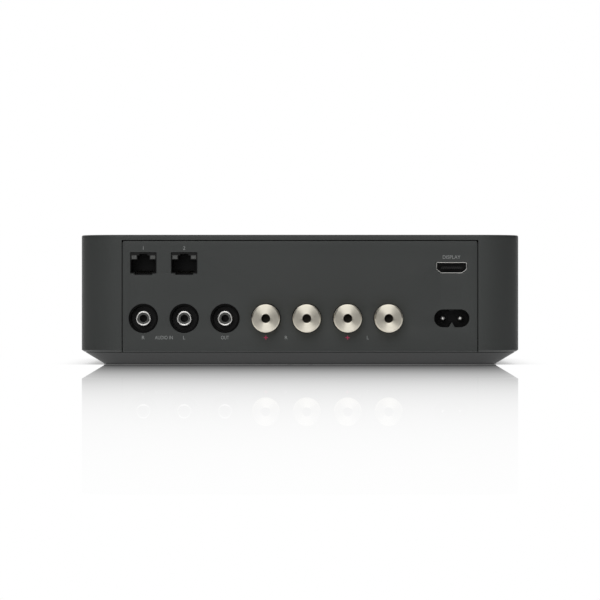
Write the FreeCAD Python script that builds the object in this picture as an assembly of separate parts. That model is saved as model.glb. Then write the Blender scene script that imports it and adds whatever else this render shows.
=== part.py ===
import FreeCAD, Part
import math
import os

os.makedirs("parts", exist_ok=True)

# A streaming amplifier: a low square case with rounded corners, a round deck set into its top,
# a rear panel with sockets, and the boards inside. Millimetres. +Z is up, the front faces -Y and
# the sockets face +Y. The origin is the middle of the rubber foot, on the surface it stands on.

# Case outline
case_width = 217.0
case_depth = 217.0
case_height = 64.0
case_corner_radius = 20.0
case_wall = 2.6
top_plate = 2.63
top_edge_radius = 0.8

# Sloping underside and the seam between cover and base
break_height = 7.24
underside_slope = 0.6
underside_gap = 0.4
cover_edge_height = 6.25
seam_gap = 0.35
base_floor = 2.5
rim_clearance = 0.2
rim_wall = 1.6
rim_height = 12.0

# Rubber foot
foot_margin = 6.0
foot_height = 1.4
foot_clearance = 0.2
foot_edge_radius = 0.46

# Air slots in the base, in a ring round the foot
slot_ring_margin = 18.5
slot_length = 14.0
slot_width = 2.4
slot_count = 48

# Corner bosses and the screws that hold the cover to the base
boss_inset = 18.5
boss_radius = 3.8
pad_radius = 5.5
pad_height = 8.0
boss_rib = 1.6
case_screw_radius = 1.5
case_screw_length = 17.0
case_screw_head_radius = 2.9
case_screw_head = 2.0
head_sink = 0.2
screw_drive = 0.6
screw_play = 0.05
screw_hole_clearance = 0.25

# Round deck in the top, with an air gap round it
deck_margin = 19.0
deck_thickness = 3.0
deck_recess = 4.5
deck_edge_radius = 0.6
vent_gap = 2.5
collar_wall = 2.6
tab_count = 6
tab_thickness = 2.5
tab_reach = 8.0
tab_width = 14.0
deck_screw_radius = 1.2
deck_screw_bite = 1.8
deck_screw_head_radius = 2.2
deck_screw_head = 1.6
deck_screw_inset = 2.5

# Rear panel and the groove that holds it
panel_side_margin = 1.2
panel_seam = 0.4
panel_corner_radius = 0.9
tongue_reach = 2.0
tongue_overlap = 1.5
tongue_thickness = 1.6
groove_clearance = 0.1
groove_wall = 1.5
groove_play = 0.2

# Rows of sockets on the rear panel
lower_row_height = 22.87
first_socket_margin = 10.2
mains_gap_ratio = 3.93
audio_count = 3
post_count = 4
socket_play = 0.1

# Audio sockets
cup_radius = 7.1
cup_lip = 0.8
cup_depth = 9.0
cup_floor = 3.5
jack_shell_radius = 3.9
jack_shell_wall = 1.0
jack_shell_recess = 0.5
insulator_recess = 1.5
contact_bore_radius = 1.85
contact_wall = 0.2
contact_recess = 5.5
contact_tail = 3.0
tail_width = 1.2
block_border = 1.3
block_height = 16.7
foot_width = 6.0

# Speaker posts and their sockets
post_cap_radius = 6.9
post_cap_length = 20.0
post_cap_stand = 10.0
post_cap_chamfer = 0.6
post_face_wall = 3.5
well_clearance = 0.35
well_depth = 12.0
well_floor = 2.5
sleeve_boss_radius = 4.6
sleeve_boss_length = 10.0
sleeve_wall = 1.2
sleeve_length = 20.5
pin_radius = 2.0
pin_length = 19.0
pin_play = 0.05
flange_radius = 6.0
flange_thickness = 1.5
flange_gap = 0.5
stem_radius = 4.0
stem_play = 0.05
wire_hole_radius = 2.1
clamp_length = 2.6
clamp_gap = 0.3
clamp_seat_gap = 0.1
knurl_count = 36
knurl_depth = 0.25
knurl_width = 0.5
knurl_stand = 1.5
knurl_front_margin = 2.0

# Mains inlet, shaped as a figure of 8
mains_margin = 12.6
inlet_width = 17.3
inlet_height = 8.8
inlet_key_width = 3.6
inlet_key_height = 2.7
inlet_rib_width = 2.4
inlet_rib_height = 0.8
inlet_rib_recess = 4.0
inlet_depth = 16.0
inlet_wall = 2.2
inlet_back = 3.0
inlet_play = 0.1
inlet_foot = 4.0
mains_pin_radius = 1.18
mains_pin_pitch = 8.6
mains_pin_recess = 4.5
mains_pin_tail = 4.0

# Network jacks
network_count = 2
network_width = 15.9
network_height = 13.5
network_depth = 21.0
network_opening_width = 12.9
network_opening_rise = 1.45
network_opening_height = 10.45
network_notch_drop = 0.75
network_notch_play = 0.1
network_headroom = 4.37
network_nose = 1.4
network_back_wall = 3.5
port_half_width = 6.1
port_rise = 1.9
port_height = 6.4
port_step_half_width = 3.0
port_step_height = 2.1
port_latch_half_width = 2.0
port_latch_height = 0.7
port_floor_half_width = 4.2
port_floor_drop = 0.6
shield_thickness = 0.25
shield_gap = 0.05
contact_count = 8
contact_pitch = 1.02
contact_width = 0.45
contact_rise = 1.1
contact_length = 11.0
window_inner = 3.4
window_outer = 5.75
window_rise = 8.6
window_height = 1.75
window_length = 12.0
window_play = 0.05

# Video jack
video_margin = 12.7
video_rise = 4.3
video_width = 15.0
video_tall = 5.6
video_corner = 1.95
video_corner_width = 1.6
video_step = 0.35
video_step_width = 0.5
video_wall = 0.4
video_depth = 11.0
video_play = 0.1
video_recess = 0.2
video_tongue_width = 9.8
video_tongue = 1.0
video_tongue_recess = 1.4
video_plug_back = 3.0
video_contact_count = 10
video_contact_pitch = 0.9
video_contact_width = 0.35
video_contact = 0.12
video_leg_width = 1.5
video_leg_back = 2.0
video_leg_pitch = 4.5
video_contact_recess = 0.6

# Boards and what stands on them
board_thickness = 1.6
board_underside = 10.0
board_side_margin = 10.5
board_rear_margin = 5.5
board_notch = 24.5
board_split_x = -10.0
board_split_gap = 1.0
standoff_radius = 3.0
standoff_side = 6.0
standoff_corner = 23.0
standoff_front = 33.0
standoff_zone = 11.0
power_standoff_split = 8.0
amplifier_standoff_split = 12.0
amplifier_standoff_zone = 5.0
amplifier_standoff_rear = 14.0
board_screw_radius = 1.3
board_screw_bite = 5.0
board_screw_head_radius = 2.6
board_screw_head = 1.6
board_hole_clearance = 0.3
upper_board_side_gap = 2.2
upper_board_front_margin = 6.0
spacer_radius = 2.8
spacer_gap = 1.0
spacer_side = 18.0
spacer_offset = 3.0
mains_zone_gap = 2.4

# Parts on the power board
part_gap = 5.0
capacitor_radius = 12.5
capacitor_headroom = 4.9
capacitor_pitch = 28.0
capacitor_side = 3.0
capacitor_row = 65.0
capacitor_edge_radius = 1.2
capacitor_groove_rise = 3.0
capacitor_groove = 1.5
capacitor_groove_depth = 0.8
transformer_row = 75.0
transformer_width = 42.0
transformer_depth = 36.0
transformer_height = 34.0
transformer_leg = 10.0
transformer_lift = 2.0
coil_foot = 3.0
coil_foot_inset = 2.0
coil_clearance = 0.3
choke_outer = 12.0
choke_inner = 5.5
choke_height = 12.0
choke_edge_radius = 1.5
choke_side = 24.0
choke_row = 21.0
film_width = 18.0
film_depth = 8.0
film_height = 15.0
film_row = 31.0
film_gap = 4.0
fuse_radius = 2.6
fuse_length = 20.0
fuse_cap = 5.0
fuse_cap_wall = 0.3
fuse_lift = 0.6
fuse_clip = 3.0
fuse_clip_inset = 1.0
fuse_side = 7.0
fuse_row = 35.0

# Parts on the amplifier board
sink_split = 20.0
sink_front = -50.0
sink_rear_gap = 8.2
sink_corner_gap = 1.2
sink_base = 4.0
fin_count = 11
fin_thickness = 1.8
chip_width = 16.0
chip_depth = 14.0
chip_height = 3.0
chip_inset = 22.0
thermal_pad = 0.5
thermal_pad_inset = 3.0
sink_leg_radius = 3.0
sink_leg_inset = 1.0
inductor_width = 13.0
inductor_depth = 11.0
inductor_height = 13.0
inductor_edge = 1.0
inductor_gap = 1.0
link_height = 7.0
link_width = 24.0
link_depth = 6.0
link_y = 12.0
tall_link_width = 18.0
tall_link_depth = 5.0
tall_link_offset = 2.0

# Radio, aerials and their leads
radio_width = 40.0
radio_depth = 26.0
radio_height = 3.6
radio_wall = 0.4
aerial_width = 22.0
aerial_height = 12.0
aerial_thickness = 0.8
aerial_front_gap = 4.2
lead_radius = 0.7
lead_rise = 1.0
lead_stand = 9.0
lead_slant = 13.0
lead_bend = 4.0
lead_row = 6.0

# Touch board and status light in the front wall
touch_drop = 24.0
touch_width = 90.0
touch_tall = 22.0
touch_skirt = 2.0
touch_board_thickness = 1.2
touch_pad_radius = 7.0
touch_pad_thickness = 2.0
touch_pad_spacing = 30.0
light_drop = 9.5
light_radius = 1.0
light_flange_radius = 2.0
light_flange = 0.5
light_play = 0.05
led_width = 2.0
led_height = 1.2
led_gap = 0.1
ribbon_width = 12.0
ribbon_thickness = 0.3
ribbon_header = 4.0
ribbon_header_side = 1.0
ribbon_board_margin = 2.0

# Places worked out from the sizes above
half_width = case_width / 2
half_depth = case_depth / 2
slant = math.sqrt(1 + underside_slope ** 2)
base_top = cover_edge_height - seam_gap
floor_top = underside_gap + base_floor
base_wall = case_wall + rim_clearance + rim_wall
panel_inside = half_depth - case_wall
side_inside = half_width - case_wall
ceiling = case_height - top_plate
panel_top = ceiling - panel_seam
panel_width = case_width - 2 * (case_corner_radius + panel_side_margin)
opening_half = panel_width / 2 + panel_seam
boss_x = half_width - boss_inset
boss_y = half_depth - boss_inset
deck_radius = min(half_width, half_depth) - deck_margin
slot_ring_outer = min(half_width, half_depth) - slot_ring_margin
slot_ring_inner = slot_ring_outer - slot_length
foot_radius = slot_ring_inner - foot_margin
deck_top = case_height - deck_recess
deck_underside = deck_top - deck_thickness
tab_underside = deck_underside - tab_thickness
vent_radius = deck_radius + vent_gap
deck_screw_ring = deck_radius - deck_screw_inset
lower_board_top = board_underside + board_thickness
upper_board_top = ceiling - network_headroom - network_height
upper_board_underside = upper_board_top - board_thickness
board_x = half_width - board_side_margin
board_y = half_depth - board_side_margin
board_rear = half_depth - board_rear_margin
sleeve_radius = pin_radius + pin_play + sleeve_wall
well_radius = post_cap_radius + well_clearance
well_back = half_depth - well_depth
cap_front = half_depth + post_cap_stand
cap_back = cap_front - post_cap_length
shoulder = cap_front - post_face_wall
clamp_front = shoulder - clamp_seat_gap
clamp_back = clamp_front - clamp_length
stem_front = clamp_back - clamp_gap
flange_front = cap_back - flange_gap
flange_back = flange_front - flange_thickness
pin_tip = flange_back - pin_length
sleeve_back = well_back - sleeve_length
cup_back = half_depth - cup_depth
block_back = cup_back - cup_floor
block_low = lower_row_height - block_height / 2
block_high = lower_row_height + block_height / 2
inlet_front = panel_inside
inlet_cavity_back = half_depth - inlet_depth
inlet_back_face = inlet_cavity_back - inlet_back
network_back = panel_inside - network_depth
network_low = upper_board_top
network_high = network_low + network_height
network_front = panel_inside + network_nose
video_back = half_depth - video_depth

# The sockets of the lower row share the panel's width: equal gaps between them, and a wider one
# before the mains inlet
first_socket_x = panel_width / 2 - first_socket_margin
mains_x = mains_margin - panel_width / 2
video_x = video_margin - panel_width / 2
socket_footprint = 2 * (well_radius + block_border)
inlet_half = inlet_width / 2 + inlet_wall
step_count = audio_count + post_count - 1
row_spare = first_socket_x - mains_x - (step_count + 0.5) * socket_footprint - inlet_half
lower_row_pitch = socket_footprint + row_spare / (step_count + mains_gap_ratio)
audio_x = [first_socket_x - i * lower_row_pitch for i in range(audio_count)]
post_x = [first_socket_x - (audio_count + i) * lower_row_pitch for i in range(post_count)]
network_x = [first_socket_x - i * lower_row_pitch for i in range(network_count)]

# Heights on the network board, and the boards' places
network_opening_low = upper_board_top + network_opening_rise
network_opening_high = network_opening_low + network_opening_height
port_low = upper_board_top + port_rise
port_high = port_low + port_height
port_step_high = port_high + port_step_height
port_latch_high = port_step_high + port_latch_height
window_low = upper_board_top + window_rise
window_high = window_low + window_height
video_height = upper_board_top + video_rise
touch_height = case_height - touch_drop
light_height = touch_height - light_drop
inductor_y = sleeve_back - inductor_gap - inductor_depth / 2
spacer_y = inductor_y - inductor_depth / 2 - spacer_gap - spacer_radius
upper_board_front = spacer_y - upper_board_front_margin
upper_board_half_width = boss_x - boss_radius - upper_board_side_gap
mains_zone_x = (post_x[-1] - inductor_width / 2 + mains_x + inlet_half) / 2
mains_zone_y = spacer_y - spacer_radius - mains_zone_gap
capacitor_x = capacitor_side + capacitor_radius - board_x
transformer_x = capacitor_x + capacitor_radius + part_gap + transformer_width / 2
sink_left = board_split_x + sink_split
sink_rear = upper_board_front - sink_rear_gap
sink_reach = vent_radius - tab_reach - sink_corner_gap
sink_right = math.sqrt(sink_reach ** 2 - sink_front ** 2)
aerial_y = upper_board_front - aerial_front_gap
upper_spacers = [
    (board_x - spacer_side, spacer_y),
    (audio_x[-1] + spacer_offset, spacer_y),
    ((post_x[-2] + post_x[-1]) / 2, spacer_y),
    (spacer_side - board_x, spacer_y),
]
radio_x = (upper_spacers[1][0] + upper_spacers[2][0]) / 2
side_standoff_x = board_x - standoff_side
corner_standoff_y = board_y - standoff_corner
front_standoff_y = standoff_front - board_y
zone_standoff_y = mains_zone_y - standoff_zone
power_standoffs = [
    (-side_standoff_x, -corner_standoff_y),
    (board_split_x - power_standoff_split, front_standoff_y),
    (-side_standoff_x, zone_standoff_y),
    (board_split_x - power_standoff_split, zone_standoff_y),
    (-side_standoff_x, corner_standoff_y),
]
amplifier_standoffs = [
    (board_split_x + amplifier_standoff_split, front_standoff_y),
    (side_standoff_x, -corner_standoff_y),
    (side_standoff_x, corner_standoff_y),
    (board_split_x + amplifier_standoff_split, zone_standoff_y),
    (mains_zone_x + amplifier_standoff_zone, board_y - amplifier_standoff_rear),
]


def vec(x, y, z):
    return FreeCAD.Vector(x, y, z)


def box(x0, x1, y0, y1, z0, z1):
    return Part.makeBox(x1 - x0, y1 - y0, z1 - z0, vec(x0, y0, z0))


def block(x, y, width, depth, z0, z1):
    """A box centred on x, y."""
    return box(x - width / 2, x + width / 2, y - depth / 2, y + depth / 2, z0, z1)


def rod_z(x, y, radius, z0, z1):
    return Part.makeCylinder(radius, z1 - z0, vec(x, y, z0), vec(0, 0, 1))


def rod_y(x, z, radius, y0, y1):
    return Part.makeCylinder(radius, y1 - y0, vec(x, y0, z), vec(0, 1, 0))


def tube_z(x, y, outer, inner, z0, z1):
    return rod_z(x, y, outer, z0, z1).cut(rod_z(x, y, inner, z0, z1))


def tube_y(x, z, outer, inner, y0, y1):
    return rod_y(x, z, outer, y0, y1).cut(rod_y(x, z, inner, y0, y1))


def join(shapes):
    """One solid from pieces that overlap or share a face."""
    whole = shapes[0].fuse(shapes[1:]) if len(shapes) > 1 else shapes[0]
    return whole.removeSplitter()


def remove(shape, tools):
    return shape.cut(Part.makeCompound(tools)) if tools else shape


def prism_y(points, y0, y1):
    """A solid of the given (x, z) outline from y0 to y1."""
    corners = [vec(x, y0, z) for x, z in points]
    outline = Part.makePolygon(corners + [corners[0]])
    return Part.Face(outline).extrude(vec(0, y1 - y0, 0))


def prism_z(points, z0, z1):
    corners = [vec(x, y, z0) for x, y in points]
    outline = Part.makePolygon(corners + [corners[0]])
    return Part.Face(outline).extrude(vec(0, 0, z1 - z0))


def rounded_outline(inset, z):
    """The case outline seen from above, moved in by inset, as a wire at height z."""
    a = half_width - inset
    b = half_depth - inset
    r = max(case_corner_radius - inset, 1.0)
    edges = []
    for k, (sx, sy) in enumerate([(1, 1), (-1, 1), (-1, -1), (1, -1)]):
        centre = vec(sx * (a - r), sy * (b - r), z)
        start = math.pi / 2 * k
        angles = [start, start + math.pi / 4, start + math.pi / 2]
        points = [centre + vec(r * math.cos(t), r * math.sin(t), 0) for t in angles]
        edges.append(Part.Arc(*points).toShape())
    sides = []
    for k in range(4):
        first = edges[k].Vertexes[-1].Point
        second = edges[(k + 1) % 4].Vertexes[0].Point
        sides.append(edges[k])
        sides.append(Part.makeLine(first, second))
    return Part.Wire(sides)


def bend_height(inset):
    """Where the upright side meets the sloping underside, on the form moved in by inset."""
    return break_height + inset * (slant - underside_slope)


def case_solid(inset, low, high):
    """The case's outer form moved in by inset, square to its faces, between two heights."""
    bend = bend_height(inset)
    pieces = []
    if high > bend:
        start = max(low, bend)
        pieces.append(Part.Face(rounded_outline(inset, start)).extrude(vec(0, 0, high - start)))
    if low < bend:
        top = min(high, bend)
        wires = []
        for z in (low, top):
            wires.append(rounded_outline(inset + (bend - z) / underside_slope, z))
        pieces.append(Part.makeLoft(wires, True, True))
    return join(pieces)


def corner_places():
    return [(sx * boss_x, sy * boss_y) for sx in (-1, 1) for sy in (-1, 1)]


def ring_places(count, radius):
    """Places on a ring, with the angle of each in degrees."""
    places = []
    for i in range(count):
        angle = 360.0 / count * (i + 0.5)
        x = radius * math.cos(math.radians(angle))
        y = radius * math.sin(math.radians(angle))
        places.append((x, y, angle))
    return places


def turned(shape, angle):
    return shape.rotate(vec(0, 0, 0), vec(0, 0, 1), angle)


# Case


def deck_tabs():
    tabs = []
    for x, y, angle in ring_places(tab_count, deck_screw_ring):
        tab = box(vent_radius - tab_reach, vent_radius + collar_wall / 2, -tab_width / 2,
                  tab_width / 2, tab_underside, deck_underside)
        tabs.append(turned(tab, angle))
    return tabs


def top_cover():
    """Moulded shell: four sides, the top plate with its round opening, and the panel frame."""
    outer = case_solid(0, cover_edge_height, case_height)
    rim = [e for e in outer.Edges if e.BoundBox.ZMin > case_height - 0.01]
    outer = outer.makeFillet(top_edge_radius, rim)
    shell = outer.cut(case_solid(case_wall, cover_edge_height - 1, ceiling))
    shell = shell.cut(rod_z(0, 0, vent_radius, ceiling - 1, case_height + 1))
    collar_outer = vent_radius + collar_wall
    additions = [tube_z(0, 0, collar_outer, vent_radius, tab_underside, ceiling + 0.5)]
    additions += deck_tabs()
    inside = case_solid(case_wall / 2, rim_height + rim_clearance, ceiling + 0.5)
    for x, y in corner_places():
        additions.append(rod_z(x, y, boss_radius, pad_height, ceiling + 0.5))
        rib = box(0, 2 * boss_inset, -boss_rib / 2, boss_rib / 2, rim_height, ceiling + 0.5)
        rib = rib.rotate(vec(0, 0, 0), vec(0, 0, 1), math.degrees(math.atan2(y, x)))
        additions.append(rib.translate(vec(x, y, 0)).common(inside))
    additions += panel_grooves()
    shell = join([shell] + additions)
    bend = bend_height(case_wall)
    lip = case_wall + (bend - cover_edge_height) / underside_slope
    tools = [
        box(-opening_half, opening_half, panel_inside, half_depth + 1, 0, panel_top + panel_seam),
        box(-opening_half, opening_half, half_depth - lip - 1, half_depth + 1, 0, bend),
    ]
    tools += [rod_z(x, y, case_screw_radius + screw_play, pad_height - 1,
                    screw_seat() + case_screw_length + 2) for x, y in corner_places()]
    for x, y, angle in ring_places(tab_count, deck_screw_ring):
        tools.append(rod_z(x, y, deck_screw_radius + screw_hole_clearance,
                           tab_underside - 1, deck_underside + 1))
    tools.append(light_pipe_hole())
    return remove(shell, tools)


def panel_grooves():
    """A channel behind each upright edge of the opening, which the panel's tongue slides into."""
    pieces = []
    tongue_end = opening_half + tongue_reach
    back = panel_inside - tongue_thickness - 2 * groove_clearance
    for side in (-1, 1):
        x0 = opening_half - tongue_overlap + groove_play
        x1 = tongue_end + groove_play
        x2 = x1 + groove_wall
        low = rim_height + rim_clearance
        strip = box(x0, x2, back - groove_wall, back, low, ceiling + 0.2)
        web = box(x1, x2, back - groove_wall, panel_inside + 0.2, low, ceiling + 0.2)
        pair = join([strip, web])
        pieces.append(pair if side > 0 else pair.mirror(vec(0, 0, 0), vec(1, 0, 0)))
    return pieces


def panel_fields():
    """Boxes that part the panel into one field for each socket of the lower and the upper row."""
    row = audio_x + post_x + [mains_x]
    cuts = [(a + b) / 2 for a, b in zip(row, row[1:])]
    split = (lower_row_height + well_radius + network_opening_low) / 2
    edge = half_width
    lower = [edge] + cuts + [-edge]
    upper = [edge] + cuts[:network_count] + [cuts[-1], -edge]
    fields = [(b, a, 0, split) for a, b in zip(lower, lower[1:])]
    fields += [(b, a, split, case_height) for a, b in zip(upper, upper[1:])]
    return [box(x0, x1, 0, half_depth + 1, z0, z1) for x0, x1, z0, z1 in fields]


def rear_panel():
    """Flat plate with the sockets' openings, bent in at its foot, with a tongue at each side."""
    plate = case_solid(0, cover_edge_height, panel_top).cut(
        case_solid(case_wall, cover_edge_height - 1, panel_top + 1))
    half = panel_width / 2
    plate = plate.common(box(-half, half, half_depth / 2, half_depth + 1, 0, panel_top))
    corners = [e for e in plate.Edges if abs(e.BoundBox.ZMin - panel_top) < 0.01
               and abs(abs(e.BoundBox.XMin) - half) < 0.01 and e.BoundBox.YLength > 1]
    plate = plate.makeFillet(panel_corner_radius, corners)
    pieces = [plate]
    low = rim_height + rim_clearance + groove_play
    high = panel_top - panel_corner_radius
    for side in (-1, 1):
        x0 = half - tongue_overlap
        x1 = opening_half + tongue_reach
        back = panel_inside - groove_clearance - tongue_thickness
        arm = box(x0, x1, back, panel_inside - groove_clearance, low, high)
        root = box(x0, half, back, panel_inside + 0.3, low, high)
        pair = join([arm, root])
        pieces.append(pair if side > 0 else pair.mirror(vec(0, 0, 0), vec(1, 0, 0)))
    plate = join(pieces)
    through = (panel_inside - 1, half_depth + 1)
    tools = [rod_y(x, lower_row_height, cup_radius + socket_play, *through) for x in audio_x]
    tools += [rod_y(x, lower_row_height, well_radius, *through) for x in post_x]
    for x in network_x:
        w = network_opening_width / 2
        tools.append(box(x - w, x + w, through[0], through[1],
                         network_opening_low, network_opening_high))
        w = port_floor_half_width + network_notch_play
        tools.append(box(x - w, x + w, through[0], through[1],
                         network_opening_low - network_notch_drop, network_opening_high))
    tools.append(video_outline(video_play, *through))
    tools.append(inlet_outline(0, *through))
    plate = remove(plate, tools)
    return [plate.common(field) for field in panel_fields()]


def base_floor_slots():
    tools = []
    middle = (slot_ring_inner + slot_ring_outer) / 2
    r = slot_width / 2
    inner = slot_ring_inner + r
    outer = slot_ring_outer - r
    slot = join([
        box(inner, outer, -r, r, 0, floor_top + 1),
        rod_z(inner, 0, r, 0, floor_top + 1),
        rod_z(outer, 0, r, 0, floor_top + 1),
    ])
    for x, y, angle in ring_places(slot_count, middle):
        tools.append(turned(slot.copy(), angle))
    return tools


def screw_seat():
    return underside_gap + head_sink + case_screw_head


def base_pan():
    """Lower shell: sloping sides, a rim inside the cover, pads, standoffs and air slots."""
    rim_in = case_wall + rim_clearance
    outer = case_solid(0, underside_gap, base_top)
    rim = case_solid(rim_in, floor_top, rim_height)
    inside = case_solid(base_wall, floor_top, rim_height + 1)
    shell = join([outer, rim]).cut(inside)
    posts = []
    for x, y in corner_places():
        posts.append(rod_z(x, y, pad_radius, floor_top - 1, pad_height))
    for x, y in power_standoffs + amplifier_standoffs:
        posts.append(rod_z(x, y, standoff_radius, floor_top - 0.5, board_underside))
    shell = join([shell] + posts)
    recess = rod_z(0, 0, foot_radius + foot_clearance, 0, foot_height)
    tools = [recess] + base_floor_slots()
    for x, y in corner_places():
        tools.append(rod_z(x, y, case_screw_radius + screw_hole_clearance, 0, pad_height + 1))
        tools.append(rod_z(x, y, case_screw_head_radius + screw_hole_clearance, 0, screw_seat()))
    for x, y in power_standoffs + amplifier_standoffs:
        tools.append(rod_z(x, y, board_screw_radius + screw_play,
                           board_underside - board_screw_bite - 0.5, board_underside + 1))
    return remove(shell, tools)


def foot_disc():
    disc = rod_z(0, 0, foot_radius, 0, foot_height)
    edge = [e for e in disc.Edges if e.BoundBox.ZMax < 0.01 and e.Curve.TypeId == "Part::GeomCircle"]
    return disc.makeFillet(foot_edge_radius, edge)


def top_deck():
    disc = rod_z(0, 0, deck_radius, deck_underside, deck_top)
    edge = [e for e in disc.Edges if e.BoundBox.ZMin > deck_top - 0.01]
    disc = disc.makeFillet(deck_edge_radius, edge)
    tools = [rod_z(x, y, deck_screw_radius + screw_play, deck_underside - 1,
                   deck_underside + deck_screw_bite + 0.2)
             for x, y, angle in ring_places(tab_count, deck_screw_ring)]
    return remove(disc, tools)


def screw(x, y, radius, head_radius, head_low, head_height, tip):
    """A screw along Z: its head from head_low up or down to where the shank starts."""
    if tip > head_low:
        head = rod_z(x, y, head_radius, head_low, head_low + head_height)
        shank = rod_z(x, y, radius, head_low + head_height - 0.1, tip)
        drive = rod_z(x, y, radius * screw_drive, head_low - 1,
                      head_low + head_height / 2)
    else:
        head = rod_z(x, y, head_radius, head_low, head_low + head_height)
        shank = rod_z(x, y, radius, tip, head_low + 0.1)
        drive = rod_z(x, y, radius * screw_drive, head_low + head_height / 2,
                      head_low + head_height + 1)
    return join([head, shank]).cut(drive)


def case_screws():
    low = underside_gap + head_sink
    return [screw(x, y, case_screw_radius, case_screw_head_radius, low, case_screw_head,
                  screw_seat() + case_screw_length) for x, y in corner_places()]


def deck_screws():
    low = tab_underside - deck_screw_head
    return [screw(x, y, deck_screw_radius, deck_screw_head_radius, low, deck_screw_head,
                  deck_underside + deck_screw_bite)
            for x, y, angle in ring_places(tab_count, deck_screw_ring)]


# Audio sockets


def socket_block(xs, back, socket_radius):
    """A moulded bar behind the panel, on feet that stand on the lower board between sockets."""
    border = socket_radius + block_border
    bar = box(min(xs) - border, max(xs) + border, back, panel_inside, block_low, block_high)
    feet = []
    for a, b in zip(xs, xs[1:]):
        middle = (a + b) / 2
        feet.append(box(middle - foot_width / 2, middle + foot_width / 2, back,
                        board_rear - 1, lower_board_top, block_low + 1))
    return join([bar] + feet)


def audio_jack_block():
    """The dished mouldings of the audio sockets, flush side by side."""
    bar = socket_block(audio_x, block_back, cup_radius)
    cups = [rod_y(x, lower_row_height, cup_radius, block_back, half_depth) for x in audio_x]
    bar = join([bar] + cups)
    tools = []
    for x in audio_x:
        tools.append(rod_y(x, lower_row_height, cup_radius - cup_lip, cup_back, half_depth + 1))
        tools.append(rod_y(x, lower_row_height, jack_shell_radius - jack_shell_wall,
                           block_back - 1, cup_back + 1))
        tools.append(box(x - tail_width, x + tail_width, block_back - 1,
                         block_back + contact_tail, lower_board_top, lower_row_height))
    bar = remove(bar, tools)
    return [bar.common(field) for field in panel_fields()[:audio_count]]


def audio_jack_shells():
    solids = []
    for x in audio_x:
        shell = tube_y(x, lower_row_height, jack_shell_radius, jack_shell_radius - jack_shell_wall,
                       cup_back, half_depth - jack_shell_recess)
        solids.append(shell)
    return solids


def audio_jack_insulators():
    outer = jack_shell_radius - jack_shell_wall - screw_play
    return [tube_y(x, lower_row_height, outer, contact_bore_radius,
                   block_back + contact_tail + 0.2, half_depth - insulator_recess)
            for x in audio_x]


def audio_jack_contacts():
    solids = []
    outer = contact_bore_radius - screw_play
    for x in audio_x:
        back = block_back + 0.5
        tube = tube_y(x, lower_row_height, outer, outer - contact_wall,
                      back, half_depth - contact_recess)
        tail = box(x - tail_width / 2, x + tail_width / 2, back, back + tail_width / 2,
                   lower_board_top, lower_row_height - outer + 2 * contact_wall)
        solids.append(join([tube, tail]))
    return solids


# Speaker sockets and posts


def speaker_socket_block():
    bar = socket_block(post_x, well_back - well_floor, well_radius)
    back = well_back - sleeve_boss_length
    bosses = [rod_y(x, lower_row_height, sleeve_boss_radius, back, well_back) for x in post_x]
    bar = join([bar] + bosses)
    tools = []
    for x in post_x:
        tools.append(rod_y(x, lower_row_height, well_radius, well_back, half_depth + 1))
        tools.append(rod_y(x, lower_row_height, sleeve_radius + screw_play, back - 1,
                           well_back + 1))
    return remove(bar, tools)


def speaker_socket_sleeves():
    solids = []
    inner = pin_radius + pin_play
    for x in post_x:
        sleeve = tube_y(x, lower_row_height, sleeve_radius, inner, sleeve_back, well_back)
        leg = box(x - tail_width / 2, x + tail_width / 2, sleeve_back + 1,
                  sleeve_back + 1 + 2 * tail_width, lower_board_top,
                  lower_row_height - inner - sleeve_wall / 3)
        solids.append(join([sleeve, leg]))
    return solids


def post_plug(x):
    """The part that stays in the socket: a pin, a flange and a hollow threaded stem."""
    z = lower_row_height
    pin = rod_y(x, z, pin_radius, pin_tip, flange_back + 0.2)
    tip = [e for e in pin.Edges if e.BoundBox.YMax < pin_tip + 0.01 and len(e.Vertexes) < 3
           and e.Curve.TypeId == "Part::GeomCircle"]
    pin = pin.makeChamfer(pin_radius / 3, tip)
    flange = rod_y(x, z, flange_radius, flange_back, flange_front)
    stem = rod_y(x, z, stem_radius, flange_front - 0.2, stem_front)
    body = join([pin, flange, stem])
    return body.cut(rod_y(x, z, wire_hole_radius, flange_front, stem_front + 1))


def post_clamp(x):
    return tube_y(x, lower_row_height, stem_radius, wire_hole_radius, clamp_back, clamp_front)


def post_cap(x):
    """Knurled cap that screws over the stem and presses the clamp ring on the wire."""
    z = lower_row_height
    cap = rod_y(x, z, post_cap_radius, cap_back, cap_front)
    ends = [e for e in cap.Edges if e.Curve.TypeId == "Part::GeomCircle"]
    cap = cap.makeChamfer(post_cap_chamfer, ends)
    bore = rod_y(x, z, stem_radius + stem_play, cap_back - 1, shoulder)
    hole = rod_y(x, z, wire_hole_radius, cap_back, cap_front + 1)
    grooves = []
    for i in range(knurl_count):
        groove = box(x - knurl_width / 2, x + knurl_width / 2, half_depth + knurl_stand,
                     cap_front - knurl_front_margin, z + post_cap_radius - knurl_depth,
                     z + post_cap_radius + 1)
        grooves.append(groove.rotate(vec(x, 0, z), vec(0, 1, 0), 360.0 / knurl_count * i))
    return remove(cap, [bore, hole] + grooves)


# Mains inlet


def stadium(x, z, width, height, y0, y1):
    """A slot with half-round ends, along Y."""
    r = height / 2
    run = width / 2 - r
    return join([
        box(x - run, x + run, y0, y1, z - r, z + r),
        rod_y(x - run, z, r, y0, y1),
        rod_y(x + run, z, r, y0, y1),
    ])


def inlet_outline(margin, y0, y1):
    """The inlet's opening: a stadium with a key at the middle of its lower edge."""
    z = lower_row_height
    slot = stadium(mains_x, z, inlet_width + 2 * margin, inlet_height + 2 * margin, y0, y1)
    low = z - inlet_height / 2 - margin
    half = inlet_key_width / 2 - margin / 2
    top = low + inlet_key_height - margin
    key = prism_y([(mains_x - half, low - 1), (mains_x + half, low - 1),
                   (mains_x + half, low), (mains_x, top), (mains_x - half, low)],
                  y0 - 1, y1 + 1)
    return slot.cut(key)


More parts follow.
